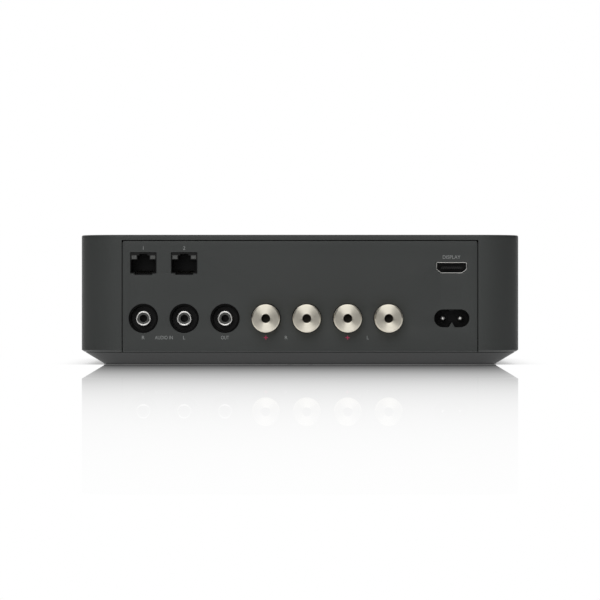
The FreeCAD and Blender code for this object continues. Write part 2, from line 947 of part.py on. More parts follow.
def mains_inlet():
    z = lower_row_height
    width = inlet_width + 2 * inlet_wall
    tall = inlet_height + 2 * inlet_wall
    body = block(mains_x, (inlet_back_face + inlet_front) / 2, width,
                 inlet_front - inlet_back_face, z - tall / 2, z + tall / 2)
    feet = []
    for side in (-1, 1):
        edge = mains_x + side * width / 2
        feet.append(box(min(edge, edge - side * inlet_foot), max(edge, edge - side * inlet_foot),
                        inlet_back_face + 1, board_rear - 1, lower_board_top, z))
    body = join([body] + feet)
    rib_top = z + inlet_height / 2 + inlet_play
    rib = block(mains_x, (inlet_cavity_back + half_depth - inlet_rib_recess) / 2, inlet_rib_width,
                half_depth - inlet_rib_recess - inlet_cavity_back,
                rib_top - inlet_rib_height, rib_top)
    tools = [inlet_outline(inlet_play, inlet_cavity_back, inlet_front + 1).cut(rib)]
    for side in (-1, 1):
        tools.append(rod_y(mains_x + side * mains_pin_pitch / 2, z,
                           mains_pin_radius + screw_play, inlet_back_face - 1,
                           inlet_cavity_back + 1))
    return remove(body, tools)


def mains_pins():
    solids = []
    z = lower_row_height
    front = half_depth - mains_pin_recess
    back = inlet_back_face - mains_pin_tail
    for side in (-1, 1):
        x = mains_x + side * mains_pin_pitch / 2
        pin = rod_y(x, z, mains_pin_radius, back, front)
        tip = [e for e in pin.Edges if e.BoundBox.YMin > front - 0.01
               and e.Curve.TypeId == "Part::GeomCircle"]
        pin = pin.makeFillet(mains_pin_radius * 0.6, tip)
        leg = box(x - tail_width / 2, x + tail_width / 2, back, back + tail_width,
                  lower_board_top, z)
        solids.append(join([pin, leg]))
    return solids


# Network jacks


def port_cavity(x, y0, y1):
    """The stepped opening that a network plug and its latch go into."""
    steps = [
        (port_floor_half_width, port_low - port_floor_drop, port_low),
        (port_half_width, port_low, port_high),
        (port_step_half_width, port_high, port_step_high),
        (port_latch_half_width, port_step_high, port_latch_high),
    ]
    return join([box(x - w, x + w, y0, y1, z0, z1) for w, z0, z1 in steps])


def windows(x, margin, y0, y1):
    solids = []
    for side in (-1, 1):
        a = x + side * (window_inner - margin)
        b = x + side * (window_outer + margin)
        solids.append(box(min(a, b), max(a, b), y0, y1, window_low - margin,
                          window_high + margin))
    return solids


def network_jack(x):
    nose_half = network_opening_width / 2 - socket_play
    body = block(x, (network_back + panel_inside) / 2, network_width,
                 network_depth, network_low, network_high)
    nose = box(x - nose_half, x + nose_half, panel_inside - 1, network_front,
               network_opening_low + socket_play, network_opening_high - socket_play)
    body = join([body, nose])
    tools = [port_cavity(x, network_back + network_back_wall, network_front + 1)]
    tools += windows(x, window_play, network_front - window_length - window_play,
                     network_front + 1)
    return remove(body, tools)


def network_shield(x):
    """Folded sheet over the top, the sides and the back of a jack."""
    half = network_width / 2 + shield_gap
    outer = half + shield_thickness
    back = network_back - shield_gap
    top = network_high + shield_gap
    whole = box(x - outer, x + outer, back - shield_thickness, panel_inside - shield_gap,
                upper_board_top, top + shield_thickness)
    return whole.cut(box(x - half, x + half, back, panel_inside + 1, upper_board_top - 1, top))


def network_contacts():
    solids = []
    y0 = network_back + network_back_wall
    for x in network_x:
        for i in range(contact_count):
            a = x + (i - (contact_count - 1) / 2) * contact_pitch - contact_width / 2
            low = port_low
            profile = [vec(a, y0, low + contact_rise), vec(a, y0, low),
                       vec(a, y0 + contact_length, low),
                       vec(a, y0 + contact_length, low + contact_width)]
            face = Part.Face(Part.makePolygon(profile + [profile[0]]))
            solids.append(face.extrude(vec(contact_width, 0, 0)))
    return solids


def network_lights():
    solids = []
    for x in network_x:
        solids += windows(x, 0, network_front - window_length, network_front)
    return solids


# Video jack


def video_outline(margin, y0, y1):
    """Six-cornered outline, wide side up, with its lower corners cut off."""
    w = video_width / 2 + margin
    h = video_tall / 2 + margin
    z = video_height
    half = [(w, h), (w, video_corner - h), (w - video_corner_width, video_step - h),
            (w - video_corner_width - video_step_width, -h)]
    points = half + [(-a, b) for a, b in reversed(half)]
    return prism_y([(video_x + a, z + b) for a, b in points], y0, y1)


def video_jack_shell():
    front = half_depth - video_recess
    outer = video_outline(0, video_back, front)
    shell = outer.cut(video_outline(-video_wall, video_back - 1, front + 1))
    legs = []
    for side in (-1, 1):
        edge = video_x + side * (video_width / 2 - video_wall / 2)
        first = video_back + video_leg_back
        for y in (first, first + video_leg_pitch):
            legs.append(block(edge, y, video_wall, video_leg_width, upper_board_top,
                              video_height))
    return join([shell] + legs)


def video_jack_core():
    margin = -video_wall - screw_play
    plug = video_outline(margin, video_back, video_back + video_plug_back)
    half = video_tongue_width / 2
    tongue = box(video_x - half, video_x + half, video_back + video_plug_back - 1,
                 half_depth - video_tongue_recess, video_height - video_tongue / 2,
                 video_height + video_tongue / 2)
    return join([plug, tongue])


def video_jack_contacts():
    solids = []
    y0 = video_back + video_plug_back
    y1 = half_depth - video_tongue_recess - video_contact_recess
    for row, count in ((1, video_contact_count), (-1, video_contact_count - 1)):
        for i in range(count):
            a = video_x + (i - (count - 1) / 2) * video_contact_pitch
            face = video_height + row * video_tongue / 2
            z0 = min(face, face + row * video_contact)
            solids.append(box(a - video_contact_width / 2, a + video_contact_width / 2,
                              y0, y1, z0, z0 + video_contact))
    return solids


# Boards


def board_corner_notches(z0, z1):
    tools = []
    for sx in (-1, 1):
        for sy in (-1, 1):
            x = sx * half_width
            y = sy * half_depth
            tools.append(box(min(x, x - sx * board_notch), max(x, x - sx * board_notch),
                             min(y, y - sy * board_notch), max(y, y - sy * board_notch),
                             z0 - 1, z1 + 1))
    return tools


def screw_holes(places, z0, z1):
    r = board_screw_radius + board_hole_clearance
    return [rod_z(x, y, r, z0 - 1, z1 + 1) for x, y in places]


def power_board():
    edge = board_split_x - board_split_gap / 2
    rear_edge = mains_zone_x - board_split_gap / 2
    step = mains_zone_y - board_split_gap / 2
    points = [(-board_x, -board_y), (edge, -board_y), (edge, step), (rear_edge, step),
              (rear_edge, board_rear), (-board_x, board_rear)]
    plate = prism_z(points, board_underside, lower_board_top)
    tools = board_corner_notches(board_underside, lower_board_top)
    tools += screw_holes(power_standoffs, board_underside, lower_board_top)
    return remove(plate, tools)


def amplifier_board():
    edge = board_split_x + board_split_gap / 2
    rear_edge = mains_zone_x + board_split_gap / 2
    step = mains_zone_y + board_split_gap / 2
    points = [(edge, -board_y), (board_x, -board_y), (board_x, board_rear),
              (rear_edge, board_rear), (rear_edge, step), (edge, step)]
    plate = prism_z(points, board_underside, lower_board_top)
    tools = board_corner_notches(board_underside, lower_board_top)
    tools += screw_holes(amplifier_standoffs, board_underside, lower_board_top)
    return remove(plate, tools)


def network_board():
    w = upper_board_half_width
    plate = box(-w, w, upper_board_front, board_rear, upper_board_underside, upper_board_top)
    return remove(plate, screw_holes(upper_spacers, upper_board_underside, upper_board_top))


def board_spacers():
    solids = []
    for x, y in upper_spacers:
        spacer = rod_z(x, y, spacer_radius, lower_board_top, upper_board_underside)
        bore = rod_z(x, y, board_screw_radius + screw_play,
                     upper_board_underside - board_screw_bite - 0.5, upper_board_underside + 1)
        solids.append(spacer.cut(bore))
    return solids


def board_screws():
    solids = []
    for x, y in power_standoffs + amplifier_standoffs:
        solids.append(screw(x, y, board_screw_radius, board_screw_head_radius, lower_board_top,
                            board_screw_head, board_underside - board_screw_bite))
    for x, y in upper_spacers:
        solids.append(screw(x, y, board_screw_radius, board_screw_head_radius, upper_board_top,
                            board_screw_head, upper_board_underside - board_screw_bite))
    return solids


# On the power board


def bulk_capacitors():
    solids = []
    x = capacitor_x
    top_height = deck_underside - capacitor_headroom
    for side in (-1, 1):
        y = mains_zone_y - capacitor_row + side * capacitor_pitch / 2
        can = rod_z(x, y, capacitor_radius, lower_board_top, top_height)
        top = [e for e in can.Edges if e.BoundBox.ZMin > top_height - 0.01]
        can = can.makeFillet(capacitor_edge_radius, top)
        low = lower_board_top + capacitor_groove_rise
        groove = tube_z(x, y, capacitor_radius + 1, capacitor_radius - capacitor_groove_depth,
                        low, low + capacitor_groove)
        solids.append(can.cut(groove))
    return solids


def transformer_place():
    return transformer_x, mains_zone_y - transformer_row


def transformer_core():
    """Two E-shaped halves: a frame with a middle leg, lying on its coil former."""
    x, y = transformer_place()
    z0 = lower_board_top + transformer_lift
    z1 = lower_board_top + transformer_height - transformer_lift
    whole = block(x, y, transformer_width, transformer_depth / 2, z0, z1)
    side = transformer_leg / 2
    gap = (transformer_width - 4 * side) / 2
    openings = []
    for s in (-1, 1):
        centre = x + s * (side + gap / 2)
        openings.append(block(centre, y, gap, transformer_depth, z0 + side, z1 - side))
    return remove(whole, openings)


def transformer_coil():
    x, y = transformer_place()
    side = transformer_leg / 2
    gap = (transformer_width - 4 * side) / 2
    z0 = lower_board_top + transformer_lift + side + coil_clearance
    z1 = lower_board_top + transformer_height - transformer_lift - side - coil_clearance
    width = 2 * (side + gap) - 2 * coil_clearance
    winding = block(x, y, width, transformer_depth, z0, z1)
    hole = block(x, y, 2 * side + 2 * coil_clearance, transformer_depth / 2 + 2 * coil_clearance,
                 z0 - 1, z1 + 1)
    winding = winding.cut(hole)
    feet = []
    for s in (-1, 1):
        for t in (-1, 1):
            feet.append(block(x + s * (width / 2 - coil_foot_inset),
                              y + t * (transformer_depth / 2 - coil_foot_inset),
                              coil_foot, coil_foot, lower_board_top, z0 + 1))
    return join([winding] + feet)


def line_choke():
    x = choke_side - board_x
    y = mains_zone_y - choke_row
    z = lower_board_top
    core = tube_z(x, y, choke_outer, choke_inner, z, z + choke_height)
    edges = [e for e in core.Edges if e.Curve.TypeId == "Part::GeomCircle"]
    return core.makeFillet(choke_edge_radius, edges)


def film_capacitors():
    solids = []
    for i in range(2):
        y = mains_zone_y - film_row + i * (film_depth + film_gap)
        solids.append(block(transformer_x, y, film_width, film_depth, lower_board_top,
                            lower_board_top + film_height))
    return solids


def fuse():
    x = fuse_side - board_x
    y0 = mains_zone_y - fuse_row
    y1 = y0 + fuse_length
    z = lower_board_top + fuse_radius + fuse_lift
    tube = rod_y(x, z, fuse_radius - fuse_cap_wall, y0, y1)
    caps = [rod_y(x, z, fuse_radius, y0, y0 + fuse_cap),
            rod_y(x, z, fuse_radius, y1 - fuse_cap, y1)]
    clips = [box(x - fuse_radius, x + fuse_radius, y, y + fuse_clip, lower_board_top, z)
             for y in (y0 + fuse_clip_inset, y1 - fuse_cap + fuse_clip_inset)]
    return join([tube] + caps + clips)


# On the amplifier board


def chip_places():
    middle = (sink_left + sink_right) / 2
    return [(middle, sink_front + chip_inset), (middle, sink_rear - chip_inset)]


def sink_underside():
    return lower_board_top + chip_height + thermal_pad


def amplifier_chips():
    return [block(x, y, chip_width, chip_depth, lower_board_top, lower_board_top + chip_height)
            for x, y in chip_places()]


def thermal_pads():
    solids = []
    for x, y in chip_places():
        solids.append(block(x, y, chip_width, chip_depth, lower_board_top + chip_height,
                            sink_underside()))
    x = (sink_left + sink_right) / 2
    y = (sink_front + sink_rear) / 2
    solids.append(block(x, y, sink_right - sink_left - 2 * thermal_pad_inset,
                        sink_rear - sink_front - 2 * thermal_pad_inset,
                        deck_underside - thermal_pad, deck_underside))
    return solids


def heat_sink():
    z0 = sink_underside()
    z1 = deck_underside - thermal_pad
    plate = box(sink_left, sink_right, sink_front, sink_rear, z0, z0 + sink_base)
    lid = box(sink_left, sink_right, sink_front, sink_rear, z1 - sink_base / 2, z1)
    pieces = [plate, lid]
    pitch = (sink_right - sink_left - fin_thickness) / (fin_count - 1)
    for i in range(fin_count):
        a = sink_left + i * pitch
        pieces.append(box(a, a + fin_thickness, sink_front, sink_rear, z0, z1))
    inset = sink_leg_radius + sink_leg_inset
    for x in (sink_left + inset, sink_right - inset):
        for y in (sink_front + inset, sink_rear - inset):
            pieces.append(rod_z(x, y, sink_leg_radius, lower_board_top, z0 + 1))
    return join(pieces)


def output_inductors():
    solids = []
    for x in post_x:
        body = block(x, inductor_y, inductor_width, inductor_depth, lower_board_top,
                     lower_board_top + inductor_height)
        upright = [e for e in body.Edges if e.BoundBox.ZLength > inductor_height - 0.01]
        solids.append(body.makeFillet(inductor_edge, upright))
    return solids


def board_link():
    """A bridge between the two lower boards, and a tall header up to the network board."""
    bridge = block(board_split_x, link_y, link_width, link_depth, lower_board_top,
                   lower_board_top + link_height)
    tall = block(audio_x[1], spacer_y - tall_link_offset, tall_link_width, tall_link_depth,
                 lower_board_top, upper_board_underside)
    return [bridge, tall]


# Radio


def radio_shield():
    """A shallow can over the radio parts."""
    x = radio_x
    y = spacer_y + radio_depth / 2
    can = block(x, y, radio_width, radio_depth, upper_board_top, upper_board_top + radio_height)
    inner = block(x, y, radio_width - 2 * radio_wall, radio_depth - 2 * radio_wall,
                  upper_board_top - 1, upper_board_top + radio_height - radio_wall)
    return can.cut(inner)


def antennas():
    solids = []
    low = touch_height
    for side in (-1, 1):
        a = side * side_inside
        b = side * (side_inside - aerial_thickness)
        solids.append(box(min(a, b), max(a, b), aerial_y - aerial_width / 2,
                          aerial_y + aerial_width / 2, low, low + aerial_height))
    return solids


def bent_tube(points, radius, bend):
    """A round lead: straight runs joined by arcs that touch both runs."""
    edges = []
    start = points[0]
    for i in range(1, len(points) - 1):
        corner = points[i]
        before = (points[i - 1] - corner).normalize()
        after = (points[i + 1] - corner).normalize()
        turn = math.pi - before.getAngle(after)
        cut = bend * math.tan(turn / 2)
        first = corner + before * cut
        last = corner + after * cut
        inward = (before + after).normalize()
        reach = bend / math.cos(turn / 2) - bend
        middle = corner + inward * reach
        edges.append(Part.makeLine(start, first))
        edges.append(Part.Arc(first, middle, last).toShape())
        start = last
    edges.append(Part.makeLine(start, points[-1]))
    path = Part.Wire(edges)
    direction = (points[1] - points[0]).normalize()
    section = Part.Wire([Part.makeCircle(radius, points[0], direction)])
    return path.makePipeShell([section], True, False)


def antenna_leads():
    solids = []
    z = upper_board_top + lead_radius + lead_rise
    for side in (-1, 1):
        wall = side * (side_inside - aerial_thickness)
        run_y = spacer_y + lead_row
        points = [
            vec(wall, aerial_y, z),
            vec(wall - side * lead_stand, aerial_y, z),
            vec(wall - side * (lead_stand + lead_slant), run_y, z),
            vec(radio_x + side * radio_width / 2, run_y, z),
        ]
        solids.append(bent_tube(points, lead_radius, lead_bend))
    return solids


# Touch board in the front wall


def front_inside():
    return -(half_depth - case_wall)


def touch_board():
    y0 = front_inside() + touch_pad_thickness
    board = box(-touch_width / 2, touch_width / 2, y0, y0 + touch_board_thickness,
                touch_height - touch_tall / 2 - touch_skirt, touch_height + touch_tall / 2)
    return board


def touch_pads():
    solids = []
    for i in (-1, 0, 1):
        solids.append(rod_y(i * touch_pad_spacing, touch_height, touch_pad_radius,
                            front_inside(), front_inside() + touch_pad_thickness))
    return solids


def light_pipe_hole():
    return rod_y(0, light_height, light_radius + light_play, -half_depth - 1, front_inside() + 1)


def light_pipe():
    stem = rod_y(0, light_height, light_radius, -half_depth, front_inside() + 0.1)
    flange = rod_y(0, light_height, light_flange_radius, front_inside(),
                   front_inside() + light_flange)
    return join([stem, flange])


def status_led():
    y0 = front_inside() + light_flange + led_gap
    y1 = front_inside() + touch_pad_thickness
    return box(-led_width / 2, led_width / 2, y0, y1, light_height - led_height / 2,
               light_height + led_height / 2)


def touch_cable():
    """A flat ribbon from the touch board down to a header on the amplifier board."""
    x0 = touch_width / 4
    x1 = x0 + ribbon_width
    y0 = front_inside() + touch_pad_thickness + touch_board_thickness
    y1 = y0 + ribbon_header
    z1 = touch_height - touch_tall / 4
    y2 = ribbon_board_margin - board_y
    z0 = lower_board_top + ribbon_header
    t = ribbon_thickness
    down = box(x0, x1, y1 - t, y1, z0 - t, z1)
    top = box(x0, x1, y0, y1, z1 - t, z1)
    foot = box(x0, x1, y1 - t, y2 + ribbon_header, z0 - t, z0)
    ribbon = join([down, top, foot])
    header = box(x0 - ribbon_header_side, x1 + ribbon_header_side, y2 + ribbon_header,
                 y2 + 2 * ribbon_header, lower_board_top, z0 + 1)
    return [ribbon, header]


def save(name, shape):
    """Writes one piece, or a group of like pieces, under its name."""
    solids = shape if isinstance(shape, list) else [shape]
    for solid in solids:
        found = len(solid.Solids)
        if found != 1 or not solid.isValid():
            print("CHECK", name, "solids", found, "valid", solid.isValid())
    bodies = [s for solid in solids for s in solid.Solids]
    out = bodies[0] if len(bodies) == 1 else Part.makeCompound(bodies)
    out.exportStep("parts/" + name + ".step")


nodes = {
    "top_cover": top_cover,
    "top_deck": top_deck,
    "base_pan": base_pan,
    "foot_disc": foot_disc,
    "rear_panel": rear_panel,
    "case_screws": case_screws,
    "deck_screws": deck_screws,
    "board_screws": board_screws,
    "board_spacers": board_spacers,
    "light_pipe": light_pipe,
    "touch_board": touch_board,
    "touch_pads": touch_pads,
    "status_led": status_led,
    "touch_cable": touch_cable,
    "network_contacts": network_contacts,
    "network_lights": network_lights,
    "video_jack_shell": video_jack_shell,
    "video_jack_core": video_jack_core,
    "video_jack_contacts": video_jack_contacts,
    "audio_jack_block": audio_jack_block,
    "audio_jack_shells": audio_jack_shells,
    "audio_jack_insulators": audio_jack_insulators,
    "audio_jack_contacts": audio_jack_contacts,
    "speaker_socket_block": speaker_socket_block,
    "speaker_socket_sleeves": speaker_socket_sleeves,
    "mains_inlet": mains_inlet,
    "mains_pins": mains_pins,
    "power_board": power_board,
    "amplifier_board": amplifier_board,
    "network_board": network_board,
    "bulk_capacitors": bulk_capacitors,
    "transformer_core": transformer_core,
    "transformer_coil": transformer_coil,
    "line_choke": line_choke,
    "film_capacitors": film_capacitors,
    "fuse": fuse,
    "output_inductors": output_inductors,
    "amplifier_chips": amplifier_chips,
    "heat_sink": heat_sink,
    "thermal_pads": thermal_pads,
    "board_link": board_link,
    "radio_shield": radio_shield,
    "antennas": antennas,
    "antenna_leads": antenna_leads,
}

for name, make in nodes.items():
    save(name, make())

for number, x in enumerate(post_x, 1):
    save("post_plug_%d" % number, post_plug(x))
    save("post_clamp_%d" % number, post_clamp(x))
    save("post_cap_%d" % number, post_cap(x))

for number, x in enumerate(network_x, 1):
    save("network_jack_%d" % number, network_jack(x))
    save("network_shield_%d" % number, network_shield(x))
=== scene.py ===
import math
from functools import partial

import bmesh
import bpy
import numpy as np
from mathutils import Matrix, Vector
from mathutils.geometry import delaunay_2d_cdt


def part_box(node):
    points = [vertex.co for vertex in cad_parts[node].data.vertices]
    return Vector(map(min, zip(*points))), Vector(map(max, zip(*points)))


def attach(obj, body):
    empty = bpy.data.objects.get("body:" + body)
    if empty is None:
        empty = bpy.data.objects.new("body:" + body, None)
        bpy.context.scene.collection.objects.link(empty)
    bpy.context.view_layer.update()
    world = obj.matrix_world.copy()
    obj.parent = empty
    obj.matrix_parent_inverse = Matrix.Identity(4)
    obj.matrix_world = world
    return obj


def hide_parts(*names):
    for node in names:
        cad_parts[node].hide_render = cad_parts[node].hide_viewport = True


# Streaming amplifier seen from behind. The frame is the CAD model's: +Z up, the sockets towards
# +Y, and the case stands on z = 0. Lengths are in millimetres until makePiece turns them to
# metres; only the studio's are in metres.

mm = 0.001
close = 0.01   # mm within which two places are taken as the same
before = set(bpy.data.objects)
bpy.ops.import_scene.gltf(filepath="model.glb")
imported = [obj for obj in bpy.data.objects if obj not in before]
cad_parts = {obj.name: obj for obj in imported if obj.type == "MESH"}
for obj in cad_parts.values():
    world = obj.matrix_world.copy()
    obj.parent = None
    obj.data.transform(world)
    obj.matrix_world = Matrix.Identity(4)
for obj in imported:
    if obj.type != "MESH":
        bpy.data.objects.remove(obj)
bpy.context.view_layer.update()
print("frame loaded:", len(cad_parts), "nodes")


# Camera: level with the middle of the case, straight at the sockets, from nearly two metres

view = {"distance": 1900.0, "height": 31.9, "lens": 231.7, "sensorWidth": 36.0, "farthest": 20.0}
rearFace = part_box("rear_panel")[1].y / mm

cameraData = bpy.data.cameras.new("rearCamera")
cameraData.lens = view["lens"]
cameraData.sensor_width = view["sensorWidth"]
cameraData.clip_end = view["farthest"]
rearCamera = bpy.data.objects.new("rearCamera", cameraData)
bpy.context.scene.collection.objects.link(rearCamera)
rearCamera.location = (0, (rearFace + view["distance"]) * mm, view["height"] * mm)
rearCamera.rotation_euler = (math.pi / 2, 0, math.pi)
bpy.context.scene.camera = rearCamera
bpy.context.scene.view_settings.view_transform = "Standard"


def linear(hexColour):
    # sRGB hex to the linear values that a shader takes
    parts = [int(hexColour[i:i + 2], 16) / 255 for i in (0, 2, 4)]
    return [c / 12.92 if c <= 0.04045 else ((c + 0.055) / 1.055) ** 2.4 for c in parts] + [1.0]


def addNode(tree, kind, settings=None):
    # one node: settings go to its properties or, by name or number, to its sockets. A setting
    # that is an output is linked, and so is a node, by its first output.
    node = tree.nodes.new(kind)
    for key, value in (settings or {}).items():
        if isinstance(value, bpy.types.Node):
            value = value.outputs[0]
        if isinstance(value, bpy.types.NodeSocket):
            tree.links.new(value, node.inputs[key])
        elif isinstance(key, int) or key in node.inputs:
            node.inputs[key].default_value = value
        else:
            setattr(node, key, value)
    return node


def newTree(owner):
    # empties the node tree of a world or material, and returns addNode for it
    owner.use_nodes = True
    owner.node_tree.nodes.clear()
    return partial(addNode, owner.node_tree)


# Studio: white all round, a soft lamp above, a fill lamp behind the camera that no surface
# mirrors, and dark boards at the sides and behind the camera

studio = {
    # what world and floor give the object, while the camera and mirrors see them white
    "worldLevel": 0.48, "floorLevel": 0.62,
    "lampPower": 7.0, "lampSize": 1.4, "lampPlace": (0.25, 1.6, 1.3),
    "fillPower": 23.0, "fillSize": 0.9, "fillPlace": (0.3, 2.3, 0.3),
    # side boards, first the one on the side of -x, and the shares over which the paint thins out
    "boardTones": ("050505", "0c0c0c"), "boardDistances": (0.9, 1.0),
    "boardReach": (-1.5, 2.0), "boardHeights": (2.2, 1.6),
    "thinSides": 0.4, "thinTop": 0.5, "thinFoot": 0.02,
    "backTone": "404040", "backDistance": 2.6, "backSize": (2.9, 0.52),
    # how the floor mirrors the case, and how far and how much it darkens near it
    "floorSize": 6.0, "floorIndex": 1.55, "footprint": 0.1085,
    "mirrorGain": 1.09, "mirrorFade": 0.385, "mirrorPower": 1.25,
    "contactReach": 0.02, "contactShare": 0.7, "gapShare": 0.17,
    "shadowReach": 0.06, "shadowShare": 0.4, "shadowSamples": 8,
}
white, zero = (1, 1, 1, 1), (0, 0, 0)


def lightLevel(add, rays, others):
    # 1 for rays of those kinds, and a lower level for all others
    path = add("ShaderNodeLightPath").outputs
    seen = 0.0
    for ray in rays:
        seen = add("ShaderNodeMath", {"operation": "MAXIMUM", 0: seen, 1: path["Is %s Ray" % ray]})
    return add("ShaderNodeMapRange", {"Value": seen, "To Min": others, "To Max": 1.0})


def makeWorld():
    world = bpy.data.worlds.new("whiteStudio")
    add = newTree(world)
    level = lightLevel(add, ("Camera", "Glossy", "Transmission"), studio["worldLevel"])
    sky = add("ShaderNodeBackground", {"Color": white, "Strength": level})
    add("ShaderNodeOutputWorld", {"Surface": sky})
    bpy.context.scene.world = world


def makeLamp(name, mirrored):
    # the studio's values whose names start with the lamp's name say how it is
    data = bpy.data.lights.new(name, "AREA")
    data.energy = studio[name + "Power"]
    data.size = studio[name + "Size"]
    lamp = bpy.data.objects.new(name, data)
    bpy.context.scene.collection.objects.link(lamp)
    lamp.location = studio[name + "Place"]
    toCase = Vector((0, 0, view["height"] * mm)) - lamp.location
    lamp.rotation_euler = toCase.to_track_quat("-Z", "Y").to_euler()
    lamp.visible_glossy = mirrored


def makeFloor():
    # White gloss acrylic: it mirrors the case close to it, less and less with the distance d from
    # the case's outline, as gain * Fresnel * exp(-(d / fade)^power). It darkens where the case is
    # near: to the eye with the square of how much of the sky the case hides there, so only close
    # to it, and softly and wider in the light that the case gets from the floor. Seen from below
    # it is clear, so that the underside shows.
    material = bpy.data.materials.new("whiteGlossAcrylic")
    add = newTree(material)
    ground = add("ShaderNodeNewGeometry").outputs
    camera = add("ShaderNodeLightPath").outputs["Is Camera Ray"]
    away, half = ground["Position"], studio["footprint"]
    for operation, other in (("ABSOLUTE", zero), ("SUBTRACT", (half, half, 0)),
                             ("MAXIMUM", zero), ("LENGTH", zero)):
        away = add("ShaderNodeVectorMath", {"operation": operation, 0: away, 1: other})
    fade = away.outputs["Value"]
    for operation, other in (("DIVIDE", studio["mirrorFade"]), ("POWER", studio["mirrorPower"]),
                             ("MULTIPLY", -1.0), ("EXPONENT", 0.0)):
        fade = add("ShaderNodeMath", {"operation": operation, 0: fade, 1: other})
    fresnel = add("ShaderNodeFresnel", {"IOR": studio["floorIndex"]})
    gloss = add("ShaderNodeMath", {"operation": "MULTIPLY", 0: fresnel, 1: studio["mirrorGain"]})
    mirror = add("ShaderNodeMath", {"operation": "MULTIPLY", 0: fade, 1: gloss})
    contact, shadow = (
        add("ShaderNodeAmbientOcclusion", {
            "Distance": studio[reach], "samples": studio["shadowSamples"]}).outputs
        for reach in ("contactReach", "shadowReach"))
    hidden = add("ShaderNodeMath", {"operation": "SUBTRACT", 0: 1.0, 1: contact["AO"]})
    deep = add("ShaderNodeMath", {"operation": "POWER", 0: hidden, 1: 2.0})
    dark, gap = (
        add("ShaderNodeMath", {"operation": "MULTIPLY_ADD", 0: deep, 1: -studio[share], 2: 1.0})
        for share in ("contactShare", "gapShare"))
    polish = add("ShaderNodeMath", {"operation": "MULTIPLY", 0: mirror, 1: gap})
    soft = add("ShaderNodeMix", {
        "data_type": "RGBA", 0: studio["shadowShare"], 6: white, 7: shadow["Color"]})
    tone, sheen = (
        add("ShaderNodeMix", {"data_type": "RGBA", 0: camera, 6: other, 7: dark}).outputs[2]
        for other in (soft.outputs[2], white))
    level = lightLevel(add, ("Camera", "Glossy"), studio["floorLevel"])
    lit = add("ShaderNodeEmission", {"Color": tone, "Strength": level})
    glass = add("ShaderNodeBsdfGlossy", {"Roughness": 0.0, "Color": sheen})
    both = add("ShaderNodeMixShader", {0: polish, 1: lit, 2: glass})
    clear = add("ShaderNodeBsdfTransparent")
    upper = add("ShaderNodeMixShader", {0: ground["Backfacing"], 1: both, 2: clear})
    add("ShaderNodeOutputMaterial", {"Surface": upper})
    size = studio["floorSize"]
    makeBoard("floor", material, zero, (size, 0, 0), (0, size, 0), True)


def makeBoard(name, material, centre, across, along, shown):
    # a flat stage piece spanned by two half-edges about its centre
    c, a, b = (np.array(v, float) for v in (centre, across, along))
    corners = np.stack([c - a - b, c + a - b, c + a + b, c - a + b])
    mesh = bpy.data.meshes.new(name)
    mesh.from_pydata(corners.tolist(), [], [[0, 1, 2, 3]])
    mesh.uv_layers.new(name="board").data.foreach_set("uv", (0, 0, 1, 0, 1, 1, 0, 1))
    mesh.materials.append(material)
    board = bpy.data.objects.new(name, mesh)
    bpy.context.scene.collection.objects.link(board)
    board.visible_camera = shown


def boardPaint(name, tone):
    # Dark paint that thins out to nothing towards the board's edges, so that the board leaves no
    # hard edge in what the floor mirrors
    material = bpy.data.materials.new(name)
    add = newTree(material)
    layout = add("ShaderNodeTexCoord").outputs["UV"]
    place = add("ShaderNodeSeparateXYZ", {0: layout}).outputs
    centred = add("ShaderNodeMath", {"operation": "MULTIPLY_ADD", 0: place[0], 1: 2.0, 2: -1.0})
    off = add("ShaderNodeMath", {"operation": "ABSOLUTE", 0: centred})
    solid = 1.0
    for value, low, high, first, last in (
            (off, 1 - studio["thinSides"], 1.0, 1.0, 0.0),
            (place[1], 1 - studio["thinTop"], 1.0, 1.0, 0.0),
            (place[1], 0.0, studio["thinFoot"], 0.0, 1.0)):
        share = add("ShaderNodeMapRange", {
            "interpolation_type": "SMOOTHSTEP", "Value": value, "From Min": low,
            "From Max": high, "To Min": first, "To Max": last})
        solid = add("ShaderNodeMath", {"operation": "MULTIPLY", 0: solid, 1: share})
    clear = add("ShaderNodeBsdfTransparent")
    paint = add("ShaderNodeBsdfDiffuse", {"Color": linear(tone)})
    both = add("ShaderNodeMixShader", {0: solid, 1: clear, 2: paint})
    add("ShaderNodeOutputMaterial", {"Surface": both})
    return material


def makeBoards():
    # Painted foam boards: they only show as softer places in what the case reflects
    low, high = studio["boardReach"]
    wide, tall = studio["backSize"]
    boards = [("backBoard", studio["backTone"], (0, studio["backDistance"], tall), (wide, 0, 0),
               (0, 0, tall))]
    sides = zip((-1, 1), studio["boardTones"], studio["boardDistances"], studio["boardHeights"])
    for side, tone, apart, height in sides:
        centre = (side * apart, (low + high) / 2, height / 2)
        boards.append(("sideBoard%d" % (side + 2), tone, centre,
                       (0, side * (high - low) / 2, 0), (0, 0, height / 2)))
    for name, tone, centre, across, along in boards:
        makeBoard(name, boardPaint(name + "Paint", tone), centre, across, along, False)


makeWorld()
makeLamp("lamp", True)
makeLamp("fill", False)
makeFloor()
makeBoards()
print("studio ready")


# Materials, a table for each kind of finish

